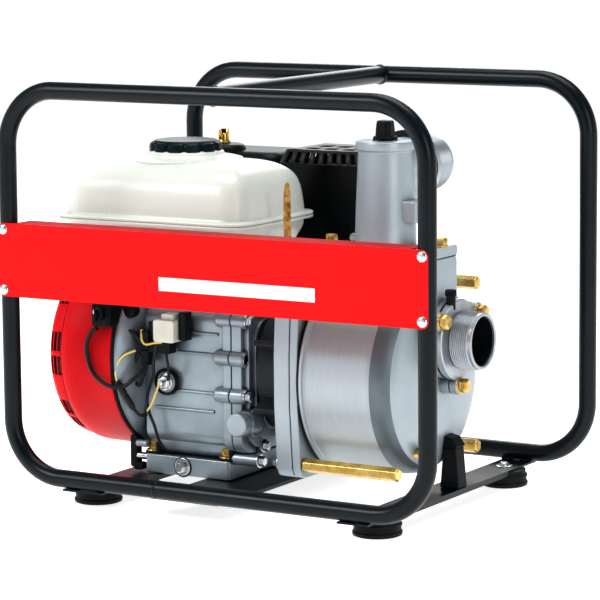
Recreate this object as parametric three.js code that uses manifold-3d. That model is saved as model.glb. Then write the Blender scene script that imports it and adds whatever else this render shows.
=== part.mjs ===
// Portable engine-driven fire pump in a tube frame. Millimetres, +Z up, origin on the ground.
// X runs along the shaft, from the recoil starter (-X) to the suction port (+X).
// -Y is the side with the red panel.
import * as THREE from 'three';
import { mergeVertices } from 'three/addons/utils/BufferGeometryUtils.js';
import Module from 'manifold-3d';

const wasm = await Module();
wasm.setup();

// ---- driving dimensions ----
const GAP = 0.3;              // clearance left between neighbouring solids
const TUBE_R = 9.5;           // frame tube radius
const HOOP_X = 250.6;         // hoop centreline half length
const HOOP_Y = 181.7;         // hoop plane's distance from the middle
const HOOP_LOW = 24;          // centreline height of the bottom rail
const HOOP_TOP = 434;         // centreline height of the top rail
const BEND_R = 60;            // hoop bend radius
const WELD_X = -68;           // butt weld in the bottom rails
const DECK_Z = HOOP_LOW - TUBE_R;
const MEMBER_TOP = DECK_Z - GAP;
const MEMBER_END = 188;       // cross-member half length
const FOOT = { x: 170.5, y: 141, r: 26, low: -6, top: 11.9 };
const PANEL = { x: 257, low: 216, top: 294, back: -191.5, sheet: 1.5, screwLow: 223.3, screwTop: 287.2 };
const SHAFT_Z = 133.5;        // height of crankshaft and pump axis
const CYL_ANGLE = Math.PI * 25 / 180;
const CYL_X = -100;           // cylinder's place along the shaft
const BORE_R = 30;
const FAN = { y: -6, z: 140 }; // the shroud sits a little off the shaft
const SEAM_Z = 290;           // underside of the tank's seam flange
const TANK = { x0: -259, x1: -15, y0: -98, y1: 71 };
const TANK_CORNER = 28;
const CAP = { x: -145, y: 0, r: 40 };
const DRUM = { x0: 54.3, x1: 162, r: 104, wall: 6 };
const TOWER = { x: 103, top: 379, r: 31, bore: 25 };
const DISCHARGE_Z = 348;
const SUCTION = { z: 175, x: 218.3, r: 30, bore: 26, face: 182.7, boltR: 48 };
const FILLER = { x: -28, z: 80 };
const DRAIN = { y: -45, z: 60 };
const ROD = { y: 88, low: 45, high: 222, end: 166.5, flats: 13 };

// ---- solids ----
function solid(geometry) {
  const bare = geometry.clone();
  bare.deleteAttribute('normal');
  bare.deleteAttribute('uv');
  const merged = mergeVertices(bare, 1e-4);
  const p = merged.attributes.position.array;
  const tris = [];
  let volume = 0;
  for (let i = 0; i < merged.index.count; i += 3) {
    const [a, b, c] = merged.index.array.slice(i, i + 3);
    if (a === b || b === c || c === a) continue;
    tris.push(a, b, c);
    const [u, v, w] = [a, b, c].map((k) => new THREE.Vector3().fromArray(p, 3 * k));
    volume += u.dot(v.cross(w));
  }
  if (volume < 0) tris.reverse();
  return new wasm.Manifold(new wasm.Mesh({ numProp: 3, vertProperties: p, triVerts: new Uint32Array(tris) }));
}

function joined(pieces) {
  return pieces.reduce((sum, piece) => sum.add(piece));
}

function cut(body, tools) {
  return tools.reduce((rest, tool) => rest.subtract(tool), body);
}

function box(x0, x1, y0, y1, z0, z1) {
  const g = new THREE.BoxGeometry(x1 - x0, y1 - y0, z1 - z0);
  return solid(g.translate((x0 + x1) / 2, (y0 + y1) / 2, (z0 + z1) / 2));
}

// A profile of [radius, distance along] turned about an axis through centre.
function turned(axis, centre, profile, sides = 14) {
  const g = new THREE.LatheGeometry(profile.map(([r, h]) => new THREE.Vector2(r, h)), sides);
  if (axis === 'x') g.rotateZ(-Math.PI / 2);
  if (axis === 'z') g.rotateX(Math.PI / 2);
  return solid(g.translate(...centre));
}

function rod(axis, centre, r, from, to, sides = 14) {
  return turned(axis, centre, [[0, from], [r, from], [r, to], [0, to]], sides);
}

// An outline swept straight along an axis: (y, z) for x, (x, z) for y, (x, y) for z.
function prism(axis, outline, from, to, curveSegments = 3) {
  const flat = Array.isArray(outline);
  const shape = flat ? new THREE.Shape(outline.map(([u, v]) => new THREE.Vector2(u, v))) : outline;
  const g = new THREE.ExtrudeGeometry(shape, { depth: to - from, bevelEnabled: false, curveSegments });
  const [X, Y, Z] = [new THREE.Vector3(1, 0, 0), new THREE.Vector3(0, 1, 0), new THREE.Vector3(0, 0, 1)];
  const turn = new THREE.Matrix4();
  if (axis === 'x') turn.makeBasis(Y, Z, X).setPosition(from, 0, 0);
  if (axis === 'y') turn.makeBasis(X, Z, Y.negate()).setPosition(0, to, 0);
  if (axis === 'z') turn.makeBasis(X, Y, Z).setPosition(0, 0, from);
  return solid(g.applyMatrix4(turn));
}

function roundRect(u0, u1, v0, v1, r) {
  const s = new THREE.Shape();
  s.moveTo(u0 + r, v0);
  s.lineTo(u1 - r, v0);
  s.absarc(u1 - r, v0 + r, r, -Math.PI / 2, 0);
  s.lineTo(u1, v1 - r);
  s.absarc(u1 - r, v1 - r, r, 0, Math.PI / 2);
  s.lineTo(u0 + r, v1);
  s.absarc(u0 + r, v1 - r, r, Math.PI / 2, Math.PI);
  s.lineTo(u0, v0 + r);
  s.absarc(u0 + r, v0 + r, r, Math.PI, 1.5 * Math.PI);
  return s;
}

function hexagon(u, v, flats) {
  const r = flats / Math.sqrt(3);
  return Array.from({ length: 6 }, (_, i) => {
    const a = i * Math.PI / 3;
    return [u + r * Math.cos(a), v + r * Math.sin(a)];
  });
}

// A tube whose section is set square at each listed point of its route.
class Route extends THREE.Curve {
  constructor(points) {
    super();
    this.points = points;
  }

  getPoint(t, target = new THREE.Vector3()) {
    return target.copy(this.points[Math.round(t * (this.points.length - 1))]);
  }

  getPointAt(u, target) {
    return this.getPoint(u, target);
  }

  getTangentAt(u, target = new THREE.Vector3()) {
    const last = this.points.length - 1;
    const i = Math.round(u * last);
    const ahead = this.points[Math.min(i + 1, last)];
    return target.copy(ahead).sub(this.points[Math.max(i - 1, 0)]).normalize();
  }
}

function tube(points, r, sides) {
  const ring = Array.from({ length: sides }, (_, i) => {
    const a = 2 * Math.PI * i / sides;
    return new THREE.Vector2(r * Math.cos(a), r * Math.sin(a));
  });
  const route = { extrudePath: new Route(points), steps: points.length - 1, bevelEnabled: false };
  return solid(new THREE.ExtrudeGeometry(new THREE.Shape(ring), route));
}

function smoothTube(waypoints, r, sides, steps) {
  const curve = new THREE.CatmullRomCurve3(waypoints.map((p) => new THREE.Vector3(...p)));
  return tube(curve.getSpacedPoints(steps), r, sides);
}

const group = new THREE.Group();

function place(name, finish, body) {
  const { vertProperties, triVerts } = body.getMesh();
  const g = new THREE.BufferGeometry();
  g.setAttribute('position', new THREE.BufferAttribute(vertProperties, 3));
  g.setIndex(new THREE.BufferAttribute(triVerts, 1));
  g.computeVertexNormals();
  const mesh = new THREE.Mesh(g, new THREE.MeshStandardMaterial(finish));
  mesh.name = name;
  group.add(mesh);
}

const BLACK_PAINT = { color: 0x14201f, roughness: 0.25, metalness: 0.1 };
const RED_PAINT = { color: 0xe3141e, roughness: 0.3, metalness: 0.1 };
const CAST = { color: 0xaebcc9, roughness: 0.5, metalness: 0.7 };
const BRUSHED = { color: 0xd2d7d7, roughness: 0.35, metalness: 0.9 };
const STEEL = { color: 0x8c9194, roughness: 0.4, metalness: 0.9 };
const ZINC = { color: 0xe0aa48, roughness: 0.4, metalness: 0.8 };
const RUBBER = { color: 0x101112, roughness: 0.8, metalness: 0 };
const BLACK_PLASTIC = { color: 0x17191b, roughness: 0.5, metalness: 0 };
const CREAM_PLASTIC = { color: 0xd8d8c4, roughness: 0.5, metalness: 0 };
const WHITE_PLASTIC = { color: 0xebeee1, roughness: 0.35, metalness: 0 };
const HOT_BLACK = { color: 0x0b0c0d, roughness: 0.6, metalness: 0.2 };

// ---- frame ----
function hoop(y) {
  const STEPS = 5;
  const points = [new THREE.Vector3(WELD_X + 0.5, y, HOOP_LOW)];
  const corners = [
    [HOOP_X - BEND_R, HOOP_LOW + BEND_R],
    [HOOP_X - BEND_R, HOOP_TOP - BEND_R],
    [BEND_R - HOOP_X, HOOP_TOP - BEND_R],
    [BEND_R - HOOP_X, HOOP_LOW + BEND_R],
  ];
  corners.forEach(([x, z], k) => {
    for (let i = 0; i <= STEPS; i += 1) {
      const a = (k - 1 + i / STEPS) * Math.PI / 2;
      points.push(new THREE.Vector3(x + BEND_R * Math.cos(a), y, z + BEND_R * Math.sin(a)));
    }
  });
  points.push(new THREE.Vector3(WELD_X - 0.5, y, HOOP_LOW));
  const weld = rod('x', [0, y, HOOP_LOW], TUBE_R + 0.2, WELD_X - 2, WELD_X + 2, 8);
  return tube(points, TUBE_R, 10).add(weld);
}

function nearHoop() {
  const y = -HOOP_Y;
  const holes = [-HOOP_X, HOOP_X].flatMap((x) =>
    [PANEL.screwLow, PANEL.screwTop].map((z) => rod('y', [x, y, z], 2.6, -TUBE_R - 2, -1, 8)));
  return cut(hoop(y), holes);
}

function topCrossTube() {
  const reach = HOOP_Y - TUBE_R;
  const at = [0, 0, HOOP_TOP];
  const bar = rod('y', at, TUBE_R, -HOOP_Y, HOOP_Y, 8);
  const collars = [rod('y', at, TUBE_R + 1.8, -HOOP_Y, -reach + 3, 8), rod('y', at, TUBE_R + 1.8, reach - 3, HOOP_Y, 8)];
  const rails = [-HOOP_Y, HOOP_Y].map((y) => rod('x', [0, y, HOOP_TOP], TUBE_R + GAP, -30, 30, 18));
  const beyond = [box(-30, 30, -HOOP_Y - 20, -HOOP_Y + 2, HOOP_TOP - 20, HOOP_TOP + 20),
    box(-30, 30, HOOP_Y - 2, HOOP_Y + 20, HOOP_TOP - 20, HOOP_TOP + 20)];
  return cut(joined([bar, ...collars]), [...rails, ...beyond]);
}

// A folded channel, open side down, relieved where a foot stands under it.
function member(x0, x1, drop, end) {
  const SHEET = 2;
  const low = MEMBER_TOP - SHEET;
  const skirt = end - 28;
  const skirts = [box(x0, x0 + SHEET, -skirt, skirt, MEMBER_TOP - drop, MEMBER_TOP),
    box(x1 - SHEET, x1, -skirt, skirt, MEMBER_TOP - drop, MEMBER_TOP)];
  const plate = box(x0, x1, -end, end, low, MEMBER_TOP);
  const feet = [-1, 1].flatMap((sx) => [-1, 1].map((sy) =>
    rod('z', [sx * FOOT.x, sy * FOOT.y, 0], FOOT.r + 1, 0, low, 8)));
  return cut(joined([plate, ...skirts]), feet);
}

function foot(sx, sy) {
  const { r, low, top } = FOOT;
  const profile = [[0, low], [r - 2, low], [r, low + 2], [r - 1, top], [0, top]];
  return turned('z', [sx * FOOT.x, sy * FOOT.y, 0], profile);
}

function frontPanel() {
  const front = PANEL.back - PANEL.sheet;
  const face = prism('y', roundRect(-PANEL.x, PANEL.x, PANEL.low, PANEL.top, 7), front, PANEL.back);
  const lip = HOOP_X - TUBE_R - 4;
  const lips = [box(-lip, lip, front, -178, PANEL.top - PANEL.sheet, PANEL.top),
    box(-lip, lip, front, -178, PANEL.low, PANEL.low + PANEL.sheet)];
  const holes = [-HOOP_X, HOOP_X].flatMap((x) =>
    [PANEL.screwLow, PANEL.screwTop].map((z) => rod('y', [x, 0, z], 2.6, front - 1, PANEL.back + 1, 8)));
  return cut(joined([face, ...lips]), holes);
}

function panelScrew(x, z) {
  const seat = PANEL.back - PANEL.sheet - GAP;
  const profile = [[0, seat - 2.4], [3, seat - 2], [5, seat - 1], [5.6, seat], [2.2, seat],
    [2.2, seat + 9], [0, seat + 9]];
  return turned('y', [x, 0, z], profile, 10);
}

// Rubber block on the right cross-member that carries the casing's lug.
function rubberMount() {
  const block = prism('y', [[162, DECK_Z], [185, DECK_Z], [181, 57], [165, 57]], 8, 27);
  const casing = [[0, DRUM.x0], [DRUM.r + 1, DRUM.x0], [DRUM.r + 1, 153], [DRUM.r, 159.5], [101.5, 163.5],
    [75, 169.5], [0, 173.5]];
  return block.subtract(turned('x', [0, 0, SHAFT_Z], casing, 22));
}

// ---- engine ----
function cylinderTurn(body) {
  const degrees = CYL_ANGLE * 180 / Math.PI - 90;
  return body.rotate([degrees, 0, 0]).translate([CYL_X, 0, SHAFT_Z]);
}

// Crankcase: box body on a base flange, the cylinder barrel and the bell behind the flywheel.
function crankcase() {
  const body = prism('x', roundRect(-74, 72, 46, 200, 16), -156, -52.3);
  const base = box(-156, -49, -72, 72, DECK_Z + GAP, 35.5);
  const waist = box(-150, -56, -64, 64, 35, 60);
  const bell = turned('x', [0, 0, SHAFT_Z], [[0, -156], [60, -150], [100, -166], [103, -166], [103, -171], [70, -171],
    [64, -160], [0, -160]], 18);
  const barrel = cylinderTurn(box(-40, 40, -40, 40, 60, 120));
  const fins = [68, 80, 92, 104].map((h) => cylinderTurn(box(-44, 44, -44, 44, h, h + 4)));
  const ribs = [88, 108, 150, 172].map((z) => box(-140, -60, -75.5, -72, z, z + 3));
  const sensor = rod('y', [-124, 0, 117], 12, -80, -70);
  const hollow = box(-148, -50, -62, 62, 54, 190);
  const bore = cylinderTurn(rod('z', [0, 0, 0], BORE_R + GAP, 40, 130, 22));
  const shaft = rod('x', [0, 0, SHAFT_Z], 12.6, -180, -140);
  const drain = rod('y', [-107.7, 0, 25], 5, -80, -50, 8);
  
  const pieces = [body, base, waist, bell, barrel, ...fins, ...ribs, sensor];
  return cut(joined(pieces), [hollow, bore, shaft, drain]);
}

// Side cover over the open end of the crankcase, with its ring of bolt bosses.
function crankcaseCover() {
  const rim = prism('x', roundRect(-74, 72, 46, 200, 16), -52, -40);
  const dome = prism('x', roundRect(-65.7, 64.3, 54.2, 191.6, 20), -41, -16);
  const bosses = [[-74, 148], [-74, 108], [-70, 188], [0, 200], [70, 188], [74, 108], [41, 51], [-41, 51]]
    .map(([y, z]) => rod('x', [0, y, z], 7.8, -51.6, -22, 12));
  const shaft = rod('x', [0, 0, SHAFT_Z], 12.6, -60, 0);
  const filler = rod('y', [FILLER.x, 0, FILLER.z], 12, -77, -60, 14);
  const fillerHole = rod('y', [FILLER.x, 0, FILLER.z], 8, -90, -14, 10);
  return cut(joined([rim, dome, filler, ...bosses]), [shaft, fillerHole]);
}

function cylinderHead() {
  const block = cylinderTurn(box(-38, 38, -38, 38, 120.3, 148));
  const fins = [122, 131, 140].map((h) => cylinderTurn(box(-43, 43, -43, 43, h, h + 4)));
  const rocker = cylinderTurn(prism('z', roundRect(-32, 32, -26, 26, 10), 147, 166));
  return joined([block, ...fins, rocker]);
}

// Red shroud: an open bell around the flywheel with a flat ring in front.
function fanCover() {
  const profile = [[107, -172], [107, -178], [106, -236], [103, -240], [80, -240], [80, -237], [101, -237],
    [103, -234], [104, -178], [104, -172]];
  return turned('x', [0, FAN.y, FAN.z], [...profile, profile[0]], 22);
}

function recoilCover() {
  const profile = [[102, -240.4], [101, -252], [95, -257.5], [40, -259.5], [22, -259.5], [22, -257], [40, -257],
    [93, -255], [98.5, -251], [99.5, -240.4]];
  return turned('x', [0, FAN.y, FAN.z], [...profile, profile[0]], 22);
}

function starterReel() {
  const profile = [[15, -253], [55, -253], [55, -251], [48, -250], [48, -246], [55, -245], [55, -243], [15, -243]];
  return turned('x', [0, 0, SHAFT_Z], [...profile, profile[0]], 18);
}

function starterGrip() {
  const bar = prism('y', roundRect(-254, -240, 247, 262, 6), -38, 38);
  return bar.add(rod('z', [-247, 0, 0], 5, 243, 250, 8));
}

function crankshaft() {
  const at = [0, 0, SHAFT_Z];
  const throwDir = [Math.cos(CYL_ANGLE), Math.sin(CYL_ANGLE)];
  const pinAt = [0, 20 * throwDir[0], SHAFT_Z + 20 * throwDir[1]];
  return joined([rod('x', at, 12, -236, -111), rod('x', at, 33, -119, -111), rod('x', pinAt, 11, -115, -85),
    rod('x', at, 33, -89, -81), rod('x', at, 12, -89, 60), rod('x', at, 9, 55, 94)]);
}

// Flywheel with cooling blades on its outer face.
function flywheel() {
  const disc = turned('x', [0, 0, SHAFT_Z], [[12.4, -205], [86, -205], [88, -200], [88, -186], [80, -182],
    [12.4, -182], [12.4, -205]], 36);
  const BLADES = 8;
  const blades = Array.from({ length: BLADES }, (_, i) => box(-222, -203, 58, 84, -1.5, 1.5)
    .rotate([360 * i / BLADES, 0, 0]).translate([0, 0, SHAFT_Z]));
  return joined([disc, ...blades]);
}

function piston() {
  return cylinderTurn(turned('z', [0, 0, 0], [[BORE_R, 84], [BORE_R, 118], [0, 118], [0, 112], [24, 112], [24, 84],
    [BORE_R, 84]], 22));
}

const FAN_CLEAR = rod('x', [0, FAN.y, FAN.z], 107.5, -245, -165, 22);

function switchBox() {
  return box(-192, -168, -119, -84, 178, 202).subtract(FAN_CLEAR).subtract(rod('y', [-180, 0, 192], 4, -125, -111, 8));
}

function switchKnob() {
  const stem = rod('y', [-180, 0, 192], 3.5, -123, -112, 8);
  return stem.add(rod('y', [-180, 0, 192], 7, -126, -119.3, 10)).add(box(-182, -178, -131, -125, 185, 199));
}

function oilAlertUnit() {
  return prism('z', roundRect(-133, -107, -98, -76, 3), 163, 187);
}

function oilFillerCap() {
  const head = [[0, -92], [12, -92], [13, -91], [13, -77.3], [7.6, -77.3], [7.6, -64], [2, -64], [2, -20], [0, -20]];
  const grip = box(FILLER.x - 9, FILLER.x + 9, -96, -91, FILLER.z - 2, FILLER.z + 2);
  return turned('y', [FILLER.x, 0, FILLER.z], head, 16).add(grip);
}

// ---- fuel tank ----
// Lofted outline: each level is a rounded rectangle inset from the seam, joined level to level.
function tankShell(levels) {
  const layers = levels.slice(1).map(([z, inset], i) => {
    const [z0, inset0] = levels[i];
    return [z0, z, inset0, inset];
  });
  return layers.map(([z0, z1, in0, in1]) => {
    const outline = roundRect(TANK.x0, TANK.x1, TANK.y0, TANK.y1, TANK_CORNER).getPoints(3);
    const cx = (TANK.x0 + TANK.x1) / 2;
    const cy = (TANK.y0 + TANK.y1) / 2;
    const g = new THREE.ExtrudeGeometry(new THREE.Shape(outline), { depth: 1, bevelEnabled: false });
    const p = g.attributes.position;
    for (let i = 0; i < p.count; i += 1) {
      const top = p.getZ(i) > 0.5;
      const inset = top ? in1 : in0;
      const fx = 1 - 2 * inset / (TANK.x1 - TANK.x0);
      const fy = 1 - 2 * inset / (TANK.y1 - TANK.y0);
      p.setXYZ(i, cx + (p.getX(i) - cx) * fx, cy + (p.getY(i) - cy) * fy, top ? z1 : z0);
    }
    return solid(g);
  }).reduce((sum, layer) => sum.add(layer));
}

function tankUpper() {
  const rise = [[SEAM_Z + GAP, 0], [293, 0], [294, 8], [318, 10], [333, 14], [343, 23], [349, 38], [352, 60]];
  const core = [[SEAM_Z - 1, 13], [318, 15], [331, 20], [340, 30], [346, 48]];
  const neck = turned('z', [CAP.x, CAP.y, 0], [[0, 338], [52, 338], [46, 352.5], [33, 352.5], [33, 361], [0, 361]], 16);
  const mouth = rod('z', [CAP.x, CAP.y, 0], 22, 330, 370);
  return cut(joined([tankShell(rise), neck]), [tankShell(core), mouth]);
}

function tankLower() {
  const depth = [[248, 34], [256, 22], [272, 12], [286, 8], [287, 0], [SEAM_Z, 0]];
  const core = [[253, 38], [260, 27], [272, 16], [SEAM_Z + 1, 13]];
  const legs = [[-34, -30, 204], [-34, 26, 204], [-226, -10, 249]]
    .map(([x, y, z]) => box(x - 8, x + 8, y - 6, y + 6, z, 275));
  return cut(joined([tankShell(depth), ...legs]), [tankShell(core)]);
}

function fuelCap() {
  const wall = turned('z', [CAP.x, CAP.y, 0], [[33.6, 353], [CAP.r - 1, 353], [CAP.r, 355], [CAP.r, 366], [34, 371],
    [0, 371], [0, 362], [33.6, 362], [33.6, 353]], 36);
  const LOBES = 10;
  const grooves = Array.from({ length: LOBES }, (_, i) => {
    const a = 2 * Math.PI * i / LOBES;
    return rod('z', [CAP.x + 43.5 * Math.cos(a), CAP.y + 43.5 * Math.sin(a), 0], 5.5, 350, 374, 8);
  });
  return cut(wall, grooves);
}

// ---- intake and exhaust ----
function airCleanerBase() {
  const tray = prism('z', roundRect(-206, -80, 80, 168, 16), 258, 268);
  const elbow = box(-180, -150, 104, 140, 244, 259).subtract(rod('z', [-165, 122, 0], 11, 240, 262));
  const stud = rod('z', [-158, 98, 0], 3, 262, 374, 10);
  return joined([tray, elbow, stud]).subtract(rod('z', [-165, 122, 0], 11, 240, 270));
}

function airCleanerCover() {
  const shell = prism('z', roundRect(-208, -78, 78, 170, 18), 268.3, 351);
  const crown = turned('z', [-158, 98, 0], [[0, 349], [20, 349], [18, 356], [16, 358], [0, 358]]);
  const inside = prism('z', roundRect(-204, -82, 82, 166, 14), 266, 347);
  return cut(shell.add(crown), [inside, rod('z', [-158, 98, 0], 3.4, 340, 362, 8)]);
}

function airCleanerNut() {
  const body = turned('z', [-158, 98, 0], [[3.4, 358.4], [8, 358.4], [6, 364], [6, 369], [3.4, 369], [3.4, 358.4]], 10);
  const wings = [box(-168, -162.5, 96.5, 99.5, 362, 374), box(-153.5, -148, 96.5, 99.5, 362, 374)];
  return joined([body, ...wings]);
}

function carburettor() {
  const body = box(-180, -148, 106, 138, 206, 243.6);
  const bowl = rod('z', [-164, 122, 0], 17, 186, 207);
  const flange = box(-148.5, -143.6, 108, 136, 206, 240);
  return joined([body, bowl, flange]).subtract(rod('z', [-165, 122, 0], 9, 225, 250));
}

// A small lever: a boss at its pivot, an arm and a round end.
function lever(pivot, end, thick) {
  const [x, z] = [end[0] - pivot[0], end[2] - pivot[2]];
  const long = Math.hypot(x, z);
  const side = [-4 * z / long, 4 * x / long];
  const y = pivot[1];
  const arm = prism('y', [[pivot[0] + side[0], pivot[2] + side[1]], [pivot[0] - side[0], pivot[2] - side[1]],
    [end[0] - side[0], end[2] - side[1]], [end[0] + side[0], end[2] + side[1]]], y, y + thick);
  return joined([arm, rod('y', [pivot[0], 0, pivot[2]], 6, y, y + thick + 2, 10),
    rod('y', [end[0], 0, end[2]], 6.5, y - 2, y + thick + 1, 10)]);
}

// Zinc-plated governor arm, standing on its shaft beside the crankcase cover.
function governorArm() {
  const plate = prism('x', [[-49, 199], [-34, 199], [-31, 250], [-35, 316], [-40, 334], [-45, 316], [-48, 250]], 6, 8.5);
  const boss = rod('x', [0, -41.5, 205], 7, 0, 14, 10);
  const holes = [238, 256, 274, 292, 310].map((z) => rod('x', [0, -40, z], 1.8, 0, 12, 8));
  return cut(joined([plate, boss]), holes);
}

function muffler() {
  return prism('z', roundRect(-56, 22, 82, 162, 14), 258, 334);
}

// Heat shield: a folded black cover with slots along its top edges.
function heatShield() {
  const shell = prism('z', roundRect(-72, 30, 75, 170, 10), 252, 356);
  const inside = prism('z', roundRect(-69.5, 27.5, 77.5, 167.5, 8), 250, 353.5);
  const slots = Array.from({ length: 8 }, (_, i) => box(-60 + 10 * i, -55 + 10 * i, 70, 88, 340, 360));
  return cut(shell, [inside, ...slots]);
}

// ---- pump ----
function plateOutline() {
  const right = [[60, 30], [90, 31], [97, 40], [101, 110], [101, 157], [97, 227], [90, 236], [60, 237]];
  return [...right, ...right.map(([y, z]) => [-y, z]).reverse()];
}

function rodHoles(r) {
  return [-ROD.y, ROD.y].flatMap((y) => [ROD.low, ROD.high].map((z) => rod('x', [0, y, z], r, 20, 60, 8)));
}

// Cast bracket: plate with a hollow hub that reaches back to the engine.
function pumpBracket() {
  const plate = prism('x', plateOutline(), 24, 44);
  const hub = rod('x', [0, 0, SHAFT_Z], 72, -15.7, 25, 22);
  const arm = prism('x', roundRect(-22, 22, 225, 268, 8), 26, 42);
  const bore = rod('x', [0, 0, SHAFT_Z], 60, -20, 36, 22);
  const shaft = rod('x', [0, 0, SHAFT_Z], 23, 30, 50);
  const windows = [[0, 44], [90, 44], [180, 44], [270, 44]].map(([turn]) =>
    box(-4, 16, -12, 12, 50, 80).rotate([turn, 0, 0]).translate([0, 0, SHAFT_Z]));
  return cut(joined([plate, hub, arm]), [bore, shaft, ...windows, ...rodHoles(4.4)]);
}

function pumpBackPlate() {
  const plate = prism('x', plateOutline(), 44.3, 54);
  return cut(plate, [rod('x', [0, 0, SHAFT_Z], 22.3, 40, 60), ...rodHoles(4.4)]);
}

// Casing: brushed drum with a domed front, the discharge tower and the suction boss.
function pumpCasing() {
  const at = [0, 0, SHAFT_Z];
  const drum = turned('x', at, [[0, DRUM.x0], [108, DRUM.x0], [108, 58], [DRUM.r, 58], [DRUM.r, 152], [103, 158],
    [100, DRUM.x1], [74, 168], [0, 172]], 22);
  const core = turned('x', at, [[0, 50], [DRUM.r - DRUM.wall, 50], [DRUM.r - DRUM.wall, 150], [70, 160], [0, 164]], 18);
  const tower = turned('z', [TOWER.x, 0, 0], [[0, 215], [38, 215], [37, 262], [TOWER.r, 368], [34, 372],
    [34, TOWER.top], [0, TOWER.top]], 18);
  const towerCore = rod('z', [TOWER.x, 0, 0], TOWER.bore, 200, 366);
  const mouth = rod('z', [TOWER.x, 0, 0], 9.4, 360, 385, 10);
  const outlet = rod('y', [TOWER.x, 0, DISCHARGE_Z], TOWER.r, 0, 44, 18);
  const outletCore = rod('y', [TOWER.x, 0, DISCHARGE_Z], TOWER.bore - 1, 0, 50, 16);
  const column = prism('x', roundRect(-25, 25, 190, 271, 4), 140, 175);
  const boss = rod('x', [0, 0, SUCTION.z], 40, 150, SUCTION.face, 18);
  const ears = [30, 150, 270].map((deg) => {
    const a = deg * Math.PI / 180;
    return rod('x', [0, SUCTION.boltR * Math.cos(a), SUCTION.z + SUCTION.boltR * Math.sin(a)], 10, 160,
      SUCTION.face, 10);
  });
  const bossCore = rod('x', [0, 0, SUCTION.z], SUCTION.bore + 1, 145, 190, 16);
  const lug = box(158, 182, 8, 27, 57.3, 66);
  const pad = box(125, 144, -14, 14, 295, 318);
  const drain = rod('x', [0, DRAIN.y, DRAIN.z], 6, 150, 180, 8);
  const solidParts = joined([drum, tower, outlet, column, boss, ...ears, lug, pad]);
  return cut(solidParts, [core, towerCore, mouth, outletCore, bossCore, drain]);
}

function volute() {
  const profile = [[62, 56], [72, 56], [72, 100], [24, 106], [24, 102], [62, 97], [62, 56]];
  return turned('x', [0, 0, SHAFT_Z], profile, 22).subtract(box(60, 94, -14, 14, SHAFT_Z + 50, SHAFT_Z + 80));
}

function impeller() {
  const disc = turned('x', [0, 0, SHAFT_Z], [[9.4, 66], [58, 66], [58, 70], [20, 74], [16, 92], [9.4, 92],
    [9.4, 66]], 22);
  const VANES = 4;
  const vanes = Array.from({ length: VANES }, (_, i) => box(69, 90, 14, 56, -2.5, 2.5)
    .rotate([360 * i / VANES, 0, 0]).translate([0, 0, SHAFT_Z]));
  return joined([disc, ...vanes]);
}

function shaftSeal() {
  return turned('x', [0, 0, SHAFT_Z], [[12.6, 45], [21.6, 45], [21.6, 54], [18, 55], [18, 62], [12.6, 62], [12.6, 45]], 14);
}

function primingPlug() {
  const at = [TOWER.x, 0, 0];
  return turned('z', at, [[0, 362], [8.6, 362], [8.6, 379.3], [13, 379.3], [13, 383], [12, 398], [9, 400], [0, 400]], 16);
}

function dischargePort() {
  const at = [TOWER.x, 0, DISCHARGE_Z];
  return turned('y', at, [[24, 44.3], [38, 44.3], [38, 54], [31, 56], [29, 60], [30, 64], [30, 96], [28.5, 97.5],
    [24, 97.5], [24, 44.3]], 18);
}

function suctionPort() {
  const at = [0, 0, SUCTION.z];
  const start = SUCTION.face + GAP;
  const pipe = turned('x', at, [[SUCTION.bore, start], [42, start], [42, start + 8], [31, start + 10],
    [29, start + 12], [SUCTION.r, start + 14], [SUCTION.r, SUCTION.x - 1.5], [28.5, SUCTION.x],
    [SUCTION.bore, SUCTION.x], [SUCTION.bore, start]], 18);
  const ears = [30, 150, 270].map((deg) => {
    const a = deg * Math.PI / 180;
    const centre = [0, SUCTION.boltR * Math.cos(a), SUCTION.z + SUCTION.boltR * Math.sin(a)];
    return rod('x', centre, 10, start, start + 8, 10);
  });
  return joined([pipe, ...ears]).subtract(rod('x', at, SUCTION.bore, start - 5, SUCTION.x + 5, 18));
}

function checkFlap() {
  const disc = rod('x', [0, 0, SUCTION.z - 1], 22, 174, 178, 22);
  return disc.add(rod('y', [174, 0, SUCTION.z + 21], 2.5, -7, 7, 8));
}

function drainPlug() {
  const stem = rod('x', [0, DRAIN.y, DRAIN.z], 5.6, 158, 171.5, 8);
  return stem.add(prism('x', hexagon(DRAIN.y, DRAIN.z, 14), 171, 177));
}

// Long hexagonal tie rod with a stud that passes through both plates.
function tieRod(y, z) {
  const body = prism('x', hexagon(y, z, ROD.flats), 54.3, ROD.end);
  return body.add(rod('x', [0, y, z], 4, 26, 55, 8));
}

// ---- assembly ----
place('near_hoop', BLACK_PAINT, nearHoop());
place('far_hoop', BLACK_PAINT, hoop(HOOP_Y));
place('top_cross_tube', BLACK_PAINT, topCrossTube());
place('member_left', BLACK_PAINT, member(-184, -134, 5, MEMBER_END));
place('member_middle', BLACK_PAINT, member(-80, 2, 4, 176));
place('member_right', BLACK_PAINT, member(150, 186, 6, MEMBER_END));
for (const [side, sx] of [['left', -1], ['right', 1]]) {
  for (const [row, sy] of [['near', -1], ['far', 1]]) {
    place(`foot_${row}_${side}`, RUBBER, foot(sx, sy));
  }
  place(`panel_screw_low_${side}`, STEEL, panelScrew(sx * HOOP_X, PANEL.screwLow));
  place(`panel_screw_top_${side}`, STEEL, panelScrew(sx * HOOP_X, PANEL.screwTop));
}
place('front_panel', RED_PAINT, frontPanel());
place('rubber_mount', RUBBER, rubberMount());

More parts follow.
